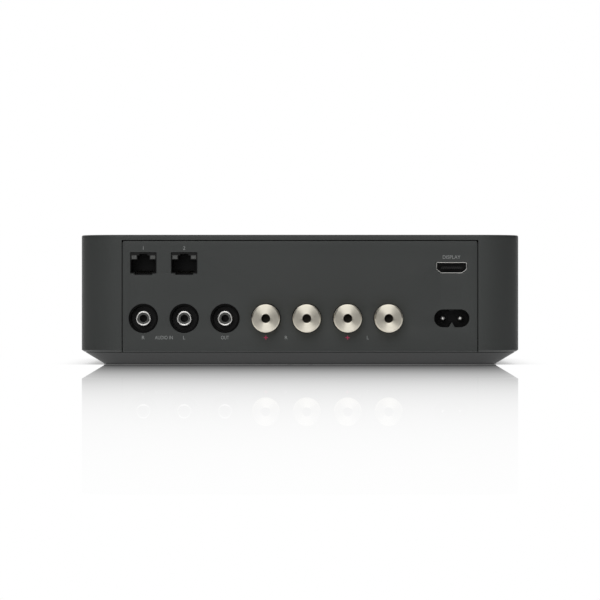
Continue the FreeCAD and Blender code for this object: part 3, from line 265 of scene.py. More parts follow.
# name, darker and lighter tone, grain in mm, roughness, index of refraction, specular level
plastics = {
    # Case: charcoal ABS with a fine spark-eroded grain and a satin sheen
    "cover": ("charcoalAbsCover", "313332", "383a39", 0.45, 0.46, 1.5, 0.4),
    "base": ("charcoalAbsBase", "303131", "373838", 0.45, 0.46, 1.5, 0.4),
    "panel": ("charcoalAbsPanel", "303231", "373938", 0.4, 0.46, 1.5, 0.4),
    # Sockets: black nylon, semi-gloss on the rims of the audio dishes and a lighter grey down in
    # the wells, which is painted light against the wells' shade; duller in the jacks; grey acetal
    # with a weak sheen round the contacts
    "dish": ("blackNylonDish", "070707", "0c0c0c", 0.6, 0.35, 1.5, 0.06),
    "well": ("greyedNylonWell", "202020", "2a2a2a", 0.6, 0.45, 1.5, 0.12),
    "jack": ("blackNylonJack", "181818", "222222", 0.5, 0.5, 1.5, 0.15),
    "insulator": ("greyAcetal", "383938", "4a4b49", 0.3, 0.45, 1.48, 0.5),
    # Wire holes: a dull lining, darker than the posts' metal, that is painted shade for the depth
    # of the holes
    "bore": ("oxidisedBore", "635e56", "6f6a60", 0.5, 0.7, 1.5, 0.2),
    # Foot of matt black rubber, smoky windows that look grey with their light off
    "rubber": ("blackRubber", "111111", "191919", 0.8, 0.75, 1.52, 0.3),
    "window": ("smokyPolycarbonate", "414241", "4f504e", 0.8, 0.3, 1.58, 0.5),
    # Inside: dull ferrite, glossy sleeves, amber tape, red boxes, chalky pads, a pale ribbon with
    # its wires 1.27 mm apart, a cloudy glass tube
    "ferrite": ("sinteredFerrite", "1b1b1c", "2c2c2e", 0.7, 0.7, 1.9, 0.5),
    "sleeve": ("vinylSleeve", "101014", "16161c", 1.5, 0.3, 1.54, 0.5),
    "tape": ("polyesterTape", "b3872a", "caa044", 3.0, 0.35, 1.6, 0.5),
    "film": ("epoxyBoxRed", "8d2418", "a53224", 1.2, 0.35, 1.55, 0.5),
    "pad": ("siliconePad", "7d8890", "929ca3", 1.0, 0.8, 1.41, 0.5),
    "ribbon": ("ribbonFilm", "c9c5b4", "dedac9", 1.27, 0.4, 1.6, 0.5),
    "fuse": ("fuseGlass", "aeb3b0", "c5c9c6", 4.0, 0.12, 1.5, 0.5),
}
# name, darker and lighter tone, roughness, and the anisotropy that tool marks give turned pieces
metals = {
    # Outside: bright nickel plating, warm nickel posts whose rings spread the light, black deck
    "nickel": ("nickelPlateTurned", "eeede9", "fefdfa", 0.26, 1.0),
    "pin": ("nickelPlatedPin", "eeede9", "fdfcf8", 0.45, 0.0),
    "post": ("champagneNickelTurned", "e6dfcd", "faf5e8", 0.4, 1.0),
    "deck": ("blackAnodisedDeck", "2b2b2c", "383839", 0.4, 0.5),
    # Inside: yellow gold plating, contacts darkened as painted shade for their place deep in the
    # jacks, bluish zinc, pale aluminium and tin, copper
    "gold": ("goldPlate", "b88f3c", "e0bd6a", 0.3, 0.0),
    "contact": ("dulledContact", "2a2927", "3b3a37", 0.5, 0.0),
    "steel": ("zincSteel", "8d9092", "b9bcbd", 0.4, 0.0),
    "aluminium": ("extrudedAluminium", "9fa1a3", "c2c4c5", 0.45, 0.0),
    "tin": ("tinnedSheet", "a5a6a4", "c9cac7", 0.38, 0.0),
    "copper": ("aerialCopper", "a8683c", "c98a5a", 0.35, 0.0),
}
# Screen-printed ink, thin and matt: name, colour
inks = {"ink": ("greyPrintInk", "8b8d8c"), "redInk": ("redPrintInk", "a83456")}
# Glass-fibre laminate under green solder mask: name, tone over glass and over copper
laminates = {"board": ("solderMaskLaminate", "0c3a22", "1c5a38")}
# sizes and depths of the patterns in mm, and how strong the bumps are
patterns = {
    "drift": 25.0, "grainDepth": 0.02, "grainBump": 0.25, "cloud": 5.0, "mark": 0.3,
    "markDepth": 0.01, "markBump": 0.12, "mesh": 0.15, "thinInk": 0.82,
    "copper": 4.0, "copperEdge": 0.62, "copperDepth": 0.03, "copperBump": 0.3,
}
finishes = {}


def newMaterial(kind, name):
    # addNode for its tree, and the place on the piece that its patterns hang on
    finishes[kind] = bpy.data.materials.new(name)
    add = newTree(finishes[kind])
    return add, add("ShaderNodeTexCoord").outputs["Object"]


def noise(size, detail, place):
    # settings of a noise with patches of that size in mm
    return {"Scale": 1 / (size * mm), "Detail": detail, "Vector": place}


def uneven(texture, rough, below, above):
    # settings that spread a roughness with a texture
    return {"Value": texture, "From Min": 0.3, "From Max": 0.7, "To Min": rough - below,
            "To Max": rough + above}


def closeMaterial(add, dark, light, mixed, settings, relief=None):
    # the mixed texture runs from the darker to the lighter tone, and a relief, (height, strength,
    # depth in mm), stands up in the light
    tone = add("ShaderNodeMix", {"data_type": "RGBA", 0: mixed, 6: dark, 7: light})
    settings["Base Color"] = tone.outputs[2]
    if relief:
        height, strength, depth = relief
        settings["Normal"] = add("ShaderNodeBump", {
            "Strength": strength, "Distance": depth * mm, "Height": height})
    shader = add("ShaderNodeBsdfPrincipled", settings)
    add("ShaderNodeOutputMaterial", {"Surface": shader})


def grainyPlastic(kind, name, dark, light, grain, rough, index, specular):
    # Moulded surface: a spark-eroded grain of that size seen as a fine stipple in tone and sheen,
    # with a slow change of tone over some centimetres
    add, place = newMaterial(kind, name)
    stipple = add("ShaderNodeTexNoise", noise(grain, 2.0, place))
    slow = add("ShaderNodeTexNoise", noise(patterns["drift"], 1.0, place))
    mixed = add("ShaderNodeMix", {0: 0.5, 2: stipple, 3: slow})
    sheen = add("ShaderNodeMapRange", uneven(stipple, rough, 0.04, 0.05))
    closeMaterial(add, linear(dark), linear(light), mixed,
                  {"Roughness": sheen, "IOR": index, "Specular IOR Level": specular},
                  (stipple, patterns["grainBump"], patterns["grainDepth"]))


def workedMetal(kind, name, dark, light, rough, spin):
    # Metal with the cloudy tone of its plating. Turned pieces have tool marks too: the v of their
    # own map is the distance along the cut, and the marks are drawn coarser than real ones so
    # that they show.
    add, place = newMaterial(kind, name)
    cloud = add("ShaderNodeTexNoise", noise(patterns["cloud"], 3.0, place))
    marks, settings = cloud, {"Metallic": 1.0, "Anisotropic": spin}
    if spin > 0:
        layout = add("ShaderNodeUVMap", {"uv_map": "turning"})
        apart = add("ShaderNodeSeparateXYZ", {0: layout}).outputs
        along = add("ShaderNodeCombineXYZ", {"Y": apart[1]})
        marks = add("ShaderNodeTexNoise", noise(patterns["mark"], 1.0, along))
        settings["Anisotropic Rotation"] = 0.25
        settings["Tangent"] = add("ShaderNodeTangent", {
            "direction_type": "UV_MAP", "uv_map": "turning"})
    mixed = add("ShaderNodeMix", {0: 0.5, 2: cloud, 3: marks})
    settings["Roughness"] = add("ShaderNodeMapRange", uneven(mixed, rough, 0.05, 0.05))
    closeMaterial(add, linear(dark), linear(light), mixed, settings,
                  (marks, patterns["markBump"], patterns["markDepth"]))


def printInk(kind, name, colour):
    # a little uneven where the mesh of the screen left it
    add, place = newMaterial(kind, name)
    speck = add("ShaderNodeTexNoise", noise(patterns["mesh"], 1.0, place))
    full = linear(colour)
    thin = [c * patterns["thinInk"] for c in full[:3]] + [1.0]
    closeMaterial(add, thin, full, speck, {"Roughness": 0.6, "IOR": 1.45})


def solderMask(kind, name, under, over):
    # copper areas some millimetres apart show through a shade paler
    add, place = newMaterial(kind, name)
    cells = add("ShaderNodeTexVoronoi", {
        "Scale": 1 / (patterns["copper"] * mm), "distance": "MANHATTAN", "Vector": place})
    copper = add("ShaderNodeMath", {
        "operation": "GREATER_THAN", 0: cells.outputs["Distance"], 1: patterns["copperEdge"]})
    closeMaterial(add, linear(under), linear(over), copper, {"Roughness": 0.35, "IOR": 1.55},
                  (copper, patterns["copperBump"], patterns["copperDepth"]))


for table, make in ((plastics, grainyPlastic), (metals, workedMetal), (inks, printInk),
                    (laminates, solderMask)):
    for kind, values in table.items():
        make(kind, *values)
print("materials made:", len(finishes))


# Shapes: grids of points worked out as whole arrays, (points, faces) with places in millimetres

def gridFaces(rows, columns, closeRows=False, closeColumns=False):
    # four-sided faces between neighbouring rows and columns of a grid of points
    r = np.arange(rows if closeRows else rows - 1)
    c = np.arange(columns if closeColumns else columns - 1)
    r, c = np.meshgrid(r, c, indexing="ij")
    nextR, nextC = (r + 1) % rows, (c + 1) % columns
    corners = [r * columns + c, r * columns + nextC, nextR * columns + nextC, nextR * columns + c]
    return np.stack([k.ravel() for k in corners], axis=1).tolist()


def gridShape(rows, closeRows=False, closeColumns=True):
    # the surface through rows of points
    grid = np.stack(rows)
    return grid.reshape(-1, 3), gridFaces(len(grid), len(grid[0]), closeRows, closeColumns)


def atHeight(flat, height):
    return np.column_stack([flat, np.full(len(flat), height)])


def joinShapes(shapes):
    # several shapes as one
    points, faces, count = [], [], 0
    for shapePoints, shapeFaces in shapes:
        points.append(np.asarray(shapePoints, float))
        faces += [[int(k) + count for k in face] for face in shapeFaces]
        count += len(shapePoints)
    return np.concatenate(points), faces


weld = {"distance": 0.002, "shortest": 0.0005}


def makePiece(name, shape, body, kind, replaced=(), sharp=35.0, axis=None, lining=None):
    # welds the shape, points its faces outwards, and puts it on its body with its finish. A lining
    # (radius, low, finish) covers the faces within that radius of an axis and past low.
    points, faces = shape
    mesh = bpy.data.meshes.new(name)
    mesh.from_pydata((np.asarray(points, float) * mm).tolist(), [], faces)
    work = bmesh.new()
    work.from_mesh(mesh)
    bmesh.ops.remove_doubles(work, verts=work.verts, dist=weld["distance"] * mm)
    bmesh.ops.dissolve_degenerate(work, edges=work.edges, dist=weld["shortest"] * mm)
    bmesh.ops.recalc_face_normals(work, faces=work.faces)
    work.to_mesh(mesh)
    work.free()
    mesh.shade_smooth()
    mesh.set_sharp_from_angle(angle=math.radians(sharp))
    if axis is not None:
        turningMap(mesh, axis)
    mesh.materials.append(finishes[kind])
    if lining is not None:
        mesh.materials.append(finishes[lining[2]])
        liningFaces(mesh, axis, lining[0], lining[1])
    piece = bpy.data.objects.new(name, mesh)
    bpy.context.scene.collection.objects.link(piece)
    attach(piece, body)
    if replaced:
        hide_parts(*replaced)
    return piece


def readMesh(mesh):
    # its points in mm, the point at each corner of a face, and each face's number of corners
    place = np.zeros(len(mesh.vertices) * 3)
    mesh.vertices.foreach_get("co", place)
    point = np.zeros(len(mesh.loops), int)
    mesh.loops.foreach_get("vertex_index", point)
    size = np.zeros(len(mesh.polygons), int)
    mesh.polygons.foreach_get("loop_total", size)
    return place.reshape(-1, 3) / mm, point, size


def liningFaces(mesh, axis, reach, low):
    # the second finish goes to the faces whose points all lie within reach of one of the axes
    # along Y and past low on it
    place, point, size = readMesh(mesh)
    away = [np.hypot(place[:, 0] - a[1], place[:, 2] - a[2]) for a in axis]
    far = (np.min(away, axis=0) > reach) | (place[:, 1] < low)
    outside = np.add.reduceat(far[point].astype(int), np.cumsum(size) - size) > 0
    mesh.polygons.foreach_set("material_index", np.where(outside, 0, 1))


def turningMap(mesh, axis):
    # u is the angle round the nearest of the axes, v the distance from it plus the place along it.
    # Each axis is (direction, a, b): along Y at x = a, z = b, or along Z at x = a, y = b.
    place, point, size = readMesh(mesh)
    direction = axis[0][0]
    along = place[:, 1] if direction == "Y" else place[:, 2]
    flat = place[:, [0, 2]] if direction == "Y" else place[:, [0, 1]]
    centres = np.array([a[1:] for a in axis], float)
    away = flat[:, None, :] - centres[None]
    nearest = np.hypot(away[..., 0], away[..., 1]).argmin(axis=1)
    away = away[np.arange(len(flat)), nearest]
    radius = np.hypot(away[:, 0], away[:, 1])
    turn = (np.arctan2(away[:, 1], away[:, 0]) / (2 * math.pi))[point]
    # a face that spans the seam, or has a pole, takes the turn of its first corner off the axis
    rim = radius[point] > close
    firstRim = np.maximum.reduceat(np.where(rim, turn, -9.0), np.cumsum(size) - size)
    reference = np.repeat(firstRim, size)
    turn = np.where(rim, turn + np.round(reference - turn), reference)
    across = (radius + along)[point] * mm
    layer = mesh.uv_layers.new(name="turning")
    layer.data.foreach_set("uv", np.stack([turn, across], axis=1).astype(np.float32).ravel())


def roundedLine(corners, radii, steps=5, closed=False):
    # a line through the corners, with an arc of the given radius in place of each
    points = [np.array(c, float) for c in corners]
    count = len(points)
    out = []
    for i, (corner, radius) in enumerate(zip(points, radii)):
        if not closed and i in (0, count - 1) or radius <= 0:
            out.append(corner[None])
            continue
        before, after = points[i - 1] - corner, points[(i + 1) % count] - corner
        a, b = before / np.linalg.norm(before), after / np.linalg.norm(after)
        half = math.acos(np.clip(a @ b, -1, 1)) / 2
        reach = min(radius / math.tan(half), np.linalg.norm(before) / 2,
                    np.linalg.norm(after) / 2)
        centre = corner + (a + b) / np.linalg.norm(a + b) * reach / math.cos(half)
        first, last = corner + a * reach - centre, corner + b * reach - centre
        turn = math.atan2(first[0] * last[1] - first[1] * last[0], first @ last)
        angle = np.linspace(0, turn, steps)
        out.append(np.stack([
            centre[0] + first[0] * np.cos(angle) - first[1] * np.sin(angle),
            centre[1] + first[0] * np.sin(angle) + first[1] * np.cos(angle),
        ], axis=1))
    return np.concatenate(out)


def rounding(edge, steps=6):
    # along a rounded edge of that radius, from the side to the front: how far in, how far short
    turn = np.linspace(0, math.pi / 2, steps)
    return [(edge * (1 - math.cos(t)), edge * (1 - math.sin(t))) for t in turn]


def turnedShape(profile, steps, axis, closed=False, ripple=None):
    # a profile of (radius, place along) carried round an axis: for one along Y through (a, b),
    # x = a + r cos t, z = b + r sin t. Ripple(t, along, r) says how much the radius loses there.
    # A profile that starts or ends at radius 0 closes there in a pole.
    direction, a, b = axis
    profile = np.asarray(profile, float)
    angle = np.arange(steps)[None, :] * 2 * math.pi / steps
    radius = np.repeat(profile[:, :1], steps, axis=1)
    along = np.repeat(profile[:, 1:], steps, axis=1)
    if ripple is not None:
        radius = radius - ripple(angle, along, radius)
    first = a + radius * np.cos(angle)
    second = b + radius * np.sin(angle)
    order = (first, along, second) if direction == "Y" else (first, second, along)
    return gridShape(np.stack(order, axis=2), closeRows=closed)


def circleLoop(centre, radius, steps=96):
    angle = np.arange(steps) * 2 * math.pi / steps
    return np.stack([centre[0] + radius * np.cos(angle), centre[1] + radius * np.sin(angle)], 1)


def boxLoop(low, high, radius, steps=5):
    corners = [(low[0], low[1]), (high[0], low[1]), (high[0], high[1]), (low[0], high[1])]
    return roundedLine(corners, [radius] * 4, steps, closed=True)


def slotLoop(low, high, radius, steps):
    # along x from low to high, with half-round ends
    turn = np.linspace(-math.pi / 2, math.pi / 2, steps)
    x, y = radius * np.cos(turn), radius * np.sin(turn)
    right = np.stack([high - radius + x, y], axis=1)
    left = np.stack([low + radius - x, -y], axis=1)
    return np.concatenate([right, left])


def mirroredLoop(half, radii, middle=0.0):
    # a rounded loop from its half at the right of the middle, given from the first to the last
    corners = [(middle + a, b) for a, b in half] + [(middle - a, b) for a, b in reversed(half)]
    return roundedLine(corners, radii + radii[::-1], 4, closed=True)


def turnBy(points, angle):
    # points or a loop turned about the vertical axis
    c, s = math.cos(angle), math.sin(angle)
    x, y = points[:, 0], points[:, 1]
    return np.column_stack([x * c - y * s, x * s + y * c, points[:, 2:]])


def halfwayTurns(count):
    # as many even turns, the first one half a step from 0
    return [2 * math.pi / count * (k + 0.5) for k in range(count)]


def loopArea(loop):
    return np.sum(loop[:, 0] * np.roll(loop[:, 1], -1) - np.roll(loop[:, 0], -1) * loop[:, 1]) / 2


def growLoop(loop, amount):
    # moves each point of a loop outwards, square to the chord of its neighbours
    chord = np.roll(loop, -1, axis=0) - np.roll(loop, 1, axis=0)
    normal = np.stack([chord[:, 1], -chord[:, 0]], axis=1)
    normal /= np.linalg.norm(normal, axis=1, keepdims=True)
    return loop + normal * amount * np.sign(loopArea(loop))


def insideLoop(places, loop):
    # whether each place lies in the loop, by counting the edges that a ray crosses
    x, y = places[:, :1], places[:, 1:]
    a, b = loop, np.roll(loop, -1, axis=0)
    spans = (a[:, 1] > y) != (b[:, 1] > y)
    rise = np.where(b[:, 1] == a[:, 1], 1e-12, b[:, 1] - a[:, 1])
    cross = a[:, 0] + (y - a[:, 1]) * (b[:, 0] - a[:, 0]) / rise
    return (spans & (x < cross)).sum(axis=1) % 2 == 1


def sheet(loops, height, place):
    # triangles at one height that fill the first loop and leave the others open
    start = np.cumsum([0] + [len(loop) for loop in loops])
    edges = []
    for first, loop in zip(start, loops):
        k = np.arange(len(loop))
        edges += np.stack([first + k, first + (k + 1) % len(loop)], axis=1).tolist()
    flat = [Vector(p) for p in np.concatenate(loops).tolist()]
    found = delaunay_2d_cdt(flat, edges, [], 0, 1e-7)
    spots = np.array([list(p) for p in found[0]])
    triangles = np.array([list(f) for f in found[2]])
    middles = spots[triangles].mean(axis=1)
    keep = insideLoop(middles, loops[0])
    for loop in loops[1:]:
        keep &= ~insideLoop(middles, loop)
    return place(atHeight(spots, height)), triangles[keep].tolist()


def wall(loop, layers, place, closed=False):
    # a loop carried through (grow, height) layers
    return gridShape([place(atHeight(growLoop(loop, g), h)) for g, h in layers], closed)


def edgeLayers(side, edge, back, front):
    # layers from back to front whose last ones round the rim: side is 1 on a hole, -1 outside
    return [(0.0, back)] + [(side * i, front - s) for i, s in rounding(edge, 4)]


def plate(outer, holes, back, front, edge, place):
    # a flat plate with holes and rounded front rims. place turns (u, v, height) into a point.
    loops = [outer] + holes
    shapes, rims = [], []
    for index, loop in enumerate(loops):
        side = -1 if index == 0 else 1
        shapes.append(wall(loop, edgeLayers(side, edge, back, front), place))
        rims.append(growLoop(loop, side * edge))
    shapes.append(sheet(rims, front, place))
    shapes.append(sheet(loops, back, place))
    return joinShapes(shapes)


def facingRear(spots):
    # (u, v, height) as x, z and y
    return spots[:, [0, 2, 1]]


def lyingFlat(spots):
    return spots


# Case outline: seen from above, every level is a square of the core's size with a border whose
# corners are round, so a point is core + (cornerRadius - inset) * normal

case = {
    "half": 108.5, "cornerRadius": 20.0, "height": 64.0, "wall": 2.6,
    "breakHeight": 7.14, "slope": 0.6, "undersideGap": 0.25, "plinthTop": 0.55,
    "coverEdge": 6.25, "baseTop": 6.02, "ceiling": 61.37, "topRadius": 0.8,
    "openingHalf": 87.7, "ventRadius": 92.0, "collarRadius": 94.6, "collarFoot": 54.0,
    "ventEdge": 0.4, "skin": 0.03, "softEdge": 0.12, "sideSteps": 26, "cornerSteps": 16,
}
bendRise = math.sqrt(1 + case["slope"] ** 2) - case["slope"]


def caseColumns(sideSpots=()):
    # core points and normals round the outline, with extra spots along the rear side. Along a side
    # the columns stand at even angles as seen from the middle, so that the round opening is round.
    core = case["half"] - case["cornerRadius"]
    widest = math.atan2(core, case["half"])
    plain = case["half"] * np.tan(np.linspace(-widest, widest, case["sideSteps"] + 1))
    rear = np.array(sorted(set(plain.tolist()) | set(sideSpots)))
    cores, normals = [], []
    for k in range(4):
        quarter = math.pi / 2 * k
        along = rear if k == 1 else plain
        side = np.array([math.cos(quarter), math.sin(quarter)])
        across = np.array([-side[1], side[0]])
        cores.append(side * core + along[:, None] * across)
        normals.append(np.repeat(side[None], len(along), axis=0))
        angle = quarter + np.linspace(0, math.pi / 2, case["cornerSteps"] + 1)[1:-1]
        cores.append(np.repeat((side + across)[None] * core, len(angle), axis=0))
        normals.append(np.stack([np.cos(angle), np.sin(angle)], axis=1))
    return np.concatenate(cores), np.concatenate(normals)


def caseRing(columns, inset, height):
    # the outline moved in by inset, at that height
    cores, normals = columns
    return atHeight(cores + (case["cornerRadius"] - inset) * normals, height)


def bendHeight(inset):
    # where the upright side meets the slope on the form moved in by inset
    return case["breakHeight"] + inset * bendRise


def slopeInset(inset, height):
    # how far in the slope of that form is at a height below its bend
    return inset + (bendHeight(inset) - height) / case["slope"]


def ventRing(columns, radius, height):
    # the columns' directions on a circle
    cores, normals = columns
    flat = cores + case["cornerRadius"] * normals
    return atHeight(flat / np.linalg.norm(flat, axis=1, keepdims=True) * radius, height)


def coverShape():
    # A closed section goes round the outline: lip, slope, wall, rounded top edge, top plate out to
    # the round opening, collar, ceiling and inner wall. Behind, the cells between the lip and the
    # ceiling are left out, and strips close the section along the opening's edges.
    opening = case["openingHalf"]
    columns = caseColumns((-opening, opening))
    skin, low, top = case["skin"], case["coverEdge"], case["height"]
    inner, ceiling, r, e = case["wall"], case["ceiling"], case["topRadius"], case["ventEdge"]
    vent, collar, foot = case["ventRadius"], case["collarRadius"], case["collarFoot"]
    rings = [caseRing(columns, slopeInset(skin, low), low),
             caseRing(columns, skin, bendHeight(skin)), caseRing(columns, skin, ceiling)]
    rings += [caseRing(columns, skin + i, top - s) for i, s in rounding(r)]
    edge, mouth = caseRing(columns, skin + r, top), ventRing(columns, vent + e, top)
    rings += [(edge + mouth) / 2, mouth]
    rings += [ventRing(columns, vent + s, top - i) for i, s in rounding(e)[1:]]
    rings += [ventRing(columns, vent, foot), ventRing(columns, collar, foot),
              ventRing(columns, collar, ceiling), caseRing(columns, inner, ceiling),
              caseRing(columns, inner, bendHeight(inner)),
              caseRing(columns, slopeInset(inner, low), low)]
    points, faces = gridShape(rings, closeRows=True)
    faces, grid = np.array(faces), np.stack(rings)
    rows, count = grid.shape[:2]
    line, column = faces[:, 0] // count, faces[:, 0] % count
    x, y = columns[0].T
    rear = y > case["half"] - case["cornerRadius"] - close
    behind = rear & np.roll(rear, -1) & (np.abs(x + np.roll(x, -1)) / 2 < opening)
    openLines = np.isin(line, [0, 1, rows - 3, rows - 2, rows - 1])
    shapes = [(points, faces[~(behind[column] & openLines)].tolist())]
    span = np.nonzero(rear & (np.abs(x) < opening + close))[0]
    span = span[np.argsort(x[span])]
    for at in (span[0], span[-1]):
        strip = [grid[[k, rows - 1 - k], at] for k in range(3)]
        shapes.append(gridShape(strip, closeColumns=False))
    shapes.append(gridShape([grid[2, span], grid[rows - 3, span]], closeColumns=False))
    return joinShapes(shapes)


tabs = {"count": 6, "ring": 87.0, "inner": 84.0, "outer": 93.3, "half": 7.0, "low": 54.0,
        "high": 56.5, "edge": 0.4, "corner": 1.5, "hole": 1.45}


def makeCover():
    # the cover with its lugs, which the deck's screws go through
    shapes = [coverShape()]
    loop = boxLoop((tabs["inner"], -tabs["half"]), (tabs["outer"], tabs["half"]), tabs["corner"])
    hole = circleLoop((tabs["ring"], 0), tabs["hole"], 24)
    points, faces = plate(loop, [hole], tabs["low"], tabs["high"], tabs["edge"], lyingFlat)
    shapes += [(turnBy(points, angle), faces) for angle in halfwayTurns(tabs["count"])]
    cover = makePiece("topCover", joinShapes(shapes), "root", "cover",
                      ["top_cover"])
    soften(cover, case["softEdge"])


def soften(piece, width):
    # small rounded edges where moulded faces meet
    soft = piece.modifiers.new("softEdges", "BEVEL")
    soft.width = width * mm
    soft.segments = 2
    soft.limit_method = "ANGLE"
    soft.angle_limit = math.radians(38)
    soft.harden_normals = True


base = {
    "rimInset": 2.8, "rimWall": 4.4, "rimTop": 12.0, "floorTop": 2.9,
    "recessRadius": 70.2, "recessTop": 1.4, "softEdge": 0.1,
    "slotInner": 76.0, "slotOuter": 90.0, "slotWidth": 2.4, "slotCount": 48, "slotEdge": 0.3,
    "bossPlace": 90.0, "boreRadius": 3.15, "boreTop": 2.6,
}


def baseShape():
    # slope, top edge, rim and its inside as a section round the outline. The bottom is a sheet at
    # two levels that the air slots go through, with the foot's recess and the screws' bores.
    columns = caseColumns()
    low, plinth, floor = case["undersideGap"], case["plinthTop"], base["floorTop"]
    top, rim, inner, rimTop = case["baseTop"], base["rimInset"], base["rimWall"], base["rimTop"]
    outerLow, innerLow = slopeInset(0, plinth), slopeInset(inner, floor)
    section = [(outerLow, low), (outerLow, plinth), (slopeInset(0, top), top),
               (slopeInset(rim, top), top), (rim, bendHeight(rim)), (rim, rimTop),
               (inner, rimTop), (inner, bendHeight(inner)), (innerLow, floor)]
    rings = [caseRing(columns, inset, height) for inset, height in section]
    shapes = [gridShape(rings)]
    slot = slotLoop(base["slotInner"], base["slotOuter"], base["slotWidth"] / 2, 7)
    slots = [turnBy(slot, angle) for angle in halfwayTurns(base["slotCount"])]
    recess = circleLoop((0, 0), base["recessRadius"], 120)
    ends = (-base["bossPlace"], base["bossPlace"])
    bores = [circleLoop((x, y), base["boreRadius"], 32) for x in ends for y in ends]
    rims = []
    for loops, end in ((slots, floor), ([recess], base["recessTop"]), (bores, base["boreTop"])):
        layers = [(grow, -depth) for grow, depth in edgeLayers(1, base["slotEdge"], -end, -low)]
        for loop in loops:
            shapes.append(wall(loop, layers, lyingFlat))
            rims.append(growLoop(loop, base["slotEdge"]))
            if loops is not slots:
                shapes.append(sheet([loop], end, lyingFlat))
    shapes.append(sheet([rings[0][:, :2]] + rims, low, lyingFlat))
    shapes.append(sheet([rings[-1][:, :2]] + slots, floor, lyingFlat))
    return joinShapes(shapes)


deck = {"radius": 89.5, "low": 56.5, "top": 59.5, "edge": 0.6, "rings": (0.75, 0.5, 0.25, 0.02, 0),
        "steps": 180}
foot = {"radius": 70.0, "top": 1.4, "edge": 0.46, "grooves": (62.0, 50.0, 38.0), "grooveDepth": 0.3}


def makeDeckAndFoot():
    # both are turned about the vertical axis through the middle
    upright = ("Z", 0, 0)
    r, e, top = deck["radius"], deck["edge"], deck["top"]
    profile = [(0, deck["low"]), (r, deck["low"])] + [(r - i, top - s) for i, s in rounding(e)]
    profile += [(share * (r - e), top) for share in deck["rings"]]
    makePiece("topDeck", turnedShape(profile, deck["steps"], upright), "root", "deck",
              ["top_deck"], axis=[upright])
    r, e, d = foot["radius"], foot["edge"], foot["grooveDepth"]
    profile = [(0, foot["top"]), (r, foot["top"])] + [(r - i, s) for i, s in rounding(e)]
    for groove in foot["grooves"]:
        profile += [(groove + d, 0), (groove, d), (groove - d, 0)]
    makePiece("footDisc", turnedShape(profile + [(0, 0)], deck["steps"], upright), "root",
              "rubber", ["foot_disc"])


row = {
    "height": 22.87, "audioX": (77.1, 57.0, 36.9), "postX": (16.8, -3.3, -23.4, -43.5),
    "mainsX": -74.7, "networkX": (77.1, 57.0), "videoX": -74.6, "videoZ": 47.8, "front": 108.5,
}
panel = {
    "half": 87.3, "top": 60.97, "bend": 6.6, "cornerRadius": 0.9, "edge": 0.25, "holeEdge": 0.2,
    "cupHole": 7.2, "wellHole": 7.25, "networkHalf": 6.45, "networkLow": 44.95,
    "networkHigh": 55.4, "notchHalf": 4.3, "notchLow": 44.2,
    "tongueInner": 85.8, "tongueOuter": 89.7, "tongueBack": 104.2, "tongueFront": 105.8,
    "tongueLow": 12.4, "tongueHigh": 60.0, "tongueCorner": 0.3, "tongueEdge": 0.1,
}
inlet = {
    "width": 17.3, "height": 8.8, "keyWidth": 3.0, "keyHeight": 2.7, "keySide": 0.6,
    "pinPitch": 8.6, "pin": 1.18, "pinBack": 85.5, "pinFront": 104.0, "pinDome": 1.1,
    "legHalf": 0.6, "legFoot": 11.6, "legEdge": 0.1,
}
video = {
    "width": 15.0, "height": 5.3, "corner": 1.85, "cornerWidth": 1.7, "step": 0.45,
    "stepWidth": 0.6, "upperRadius": 0.5, "wall": 0.22, "back": 97.5, "front": 108.3, "play": 0.1,
}
# length of the lip along the slope, and the rounding error of a height on it
lipReach = (panel["bend"] - case["coverEdge"]) * math.sqrt(1 + 1 / case["slope"] ** 2)
exact = 1e-6


def inletLoop():
    # a slot with half-round ends, and a pointed key at the middle of its lower edge
    r, half = inlet["height"] / 2, inlet["keyWidth"] / 2
    foot = half + inlet["keySide"]
    key = roundedLine([(-foot, -r), (-half, -r), (0, inlet["keyHeight"] - r), (half, -r),
                       (foot, -r)], [0, 0.2, 0.3, 0.2, 0], 4)
    slot = slotLoop(-inlet["width"] / 2, inlet["width"] / 2, r, 25)
    return np.concatenate([slot, key]) + (row["mainsX"], row["height"])


def videoLoop(margin):
    # wide side up, lower corners cut off
    w, h, r = video["width"] / 2 + margin, video["height"] / 2 + margin, video["upperRadius"]
    c, cw, s, sw = video["corner"], video["cornerWidth"], video["step"], video["stepWidth"]
    half = [(w, h), (w, c - h), (w - cw, s - h), (w - cw - sw, -h)]
    return mirroredLoop(half, [r, r, 0.15, 0.2]) + (row["videoX"], row["videoZ"])


def bentPlace(spots):
    # (x, v, height) with the front at height 0: above the bend the panel is upright, and below it
    # the panel follows the slope, so v only says how far down the lip a point is
    x, v, d = spots[:, 0], spots[:, 1], -spots[:, 2]
    bend = panel["bend"]
    share = np.clip((bend - v) / lipReach, 0, 1)
    corner = bend + bendRise * d
    z = np.where(v > bend - exact, np.maximum(v, corner),
                 corner + (case["coverEdge"] - corner) * share)
    y = row["front"] - d - np.where(v > bend - exact, 0, (corner - z) / case["slope"])
    return np.column_stack([x, y, z])


def panelHoles():
    # three audio holes, four wells, two network openings with a notch for the latch, video, mains
    z, wide, notch = row["height"], panel["networkHalf"], panel["notchHalf"]
    holes = [circleLoop((x, z), panel["cupHole"]) for x in row["audioX"]]
    holes += [circleLoop((x, z), panel["wellHole"]) for x in row["postX"]]
    half = [(notch, panel["notchLow"]), (notch, panel["networkLow"]),
            (wide, panel["networkLow"]), (wide, panel["networkHigh"])]
    holes += [mirroredLoop(half, [0.2, 0.15, 0.3, 0.3], x) for x in row["networkX"]]
    return holes + [videoLoop(video["play"]), inletLoop()]


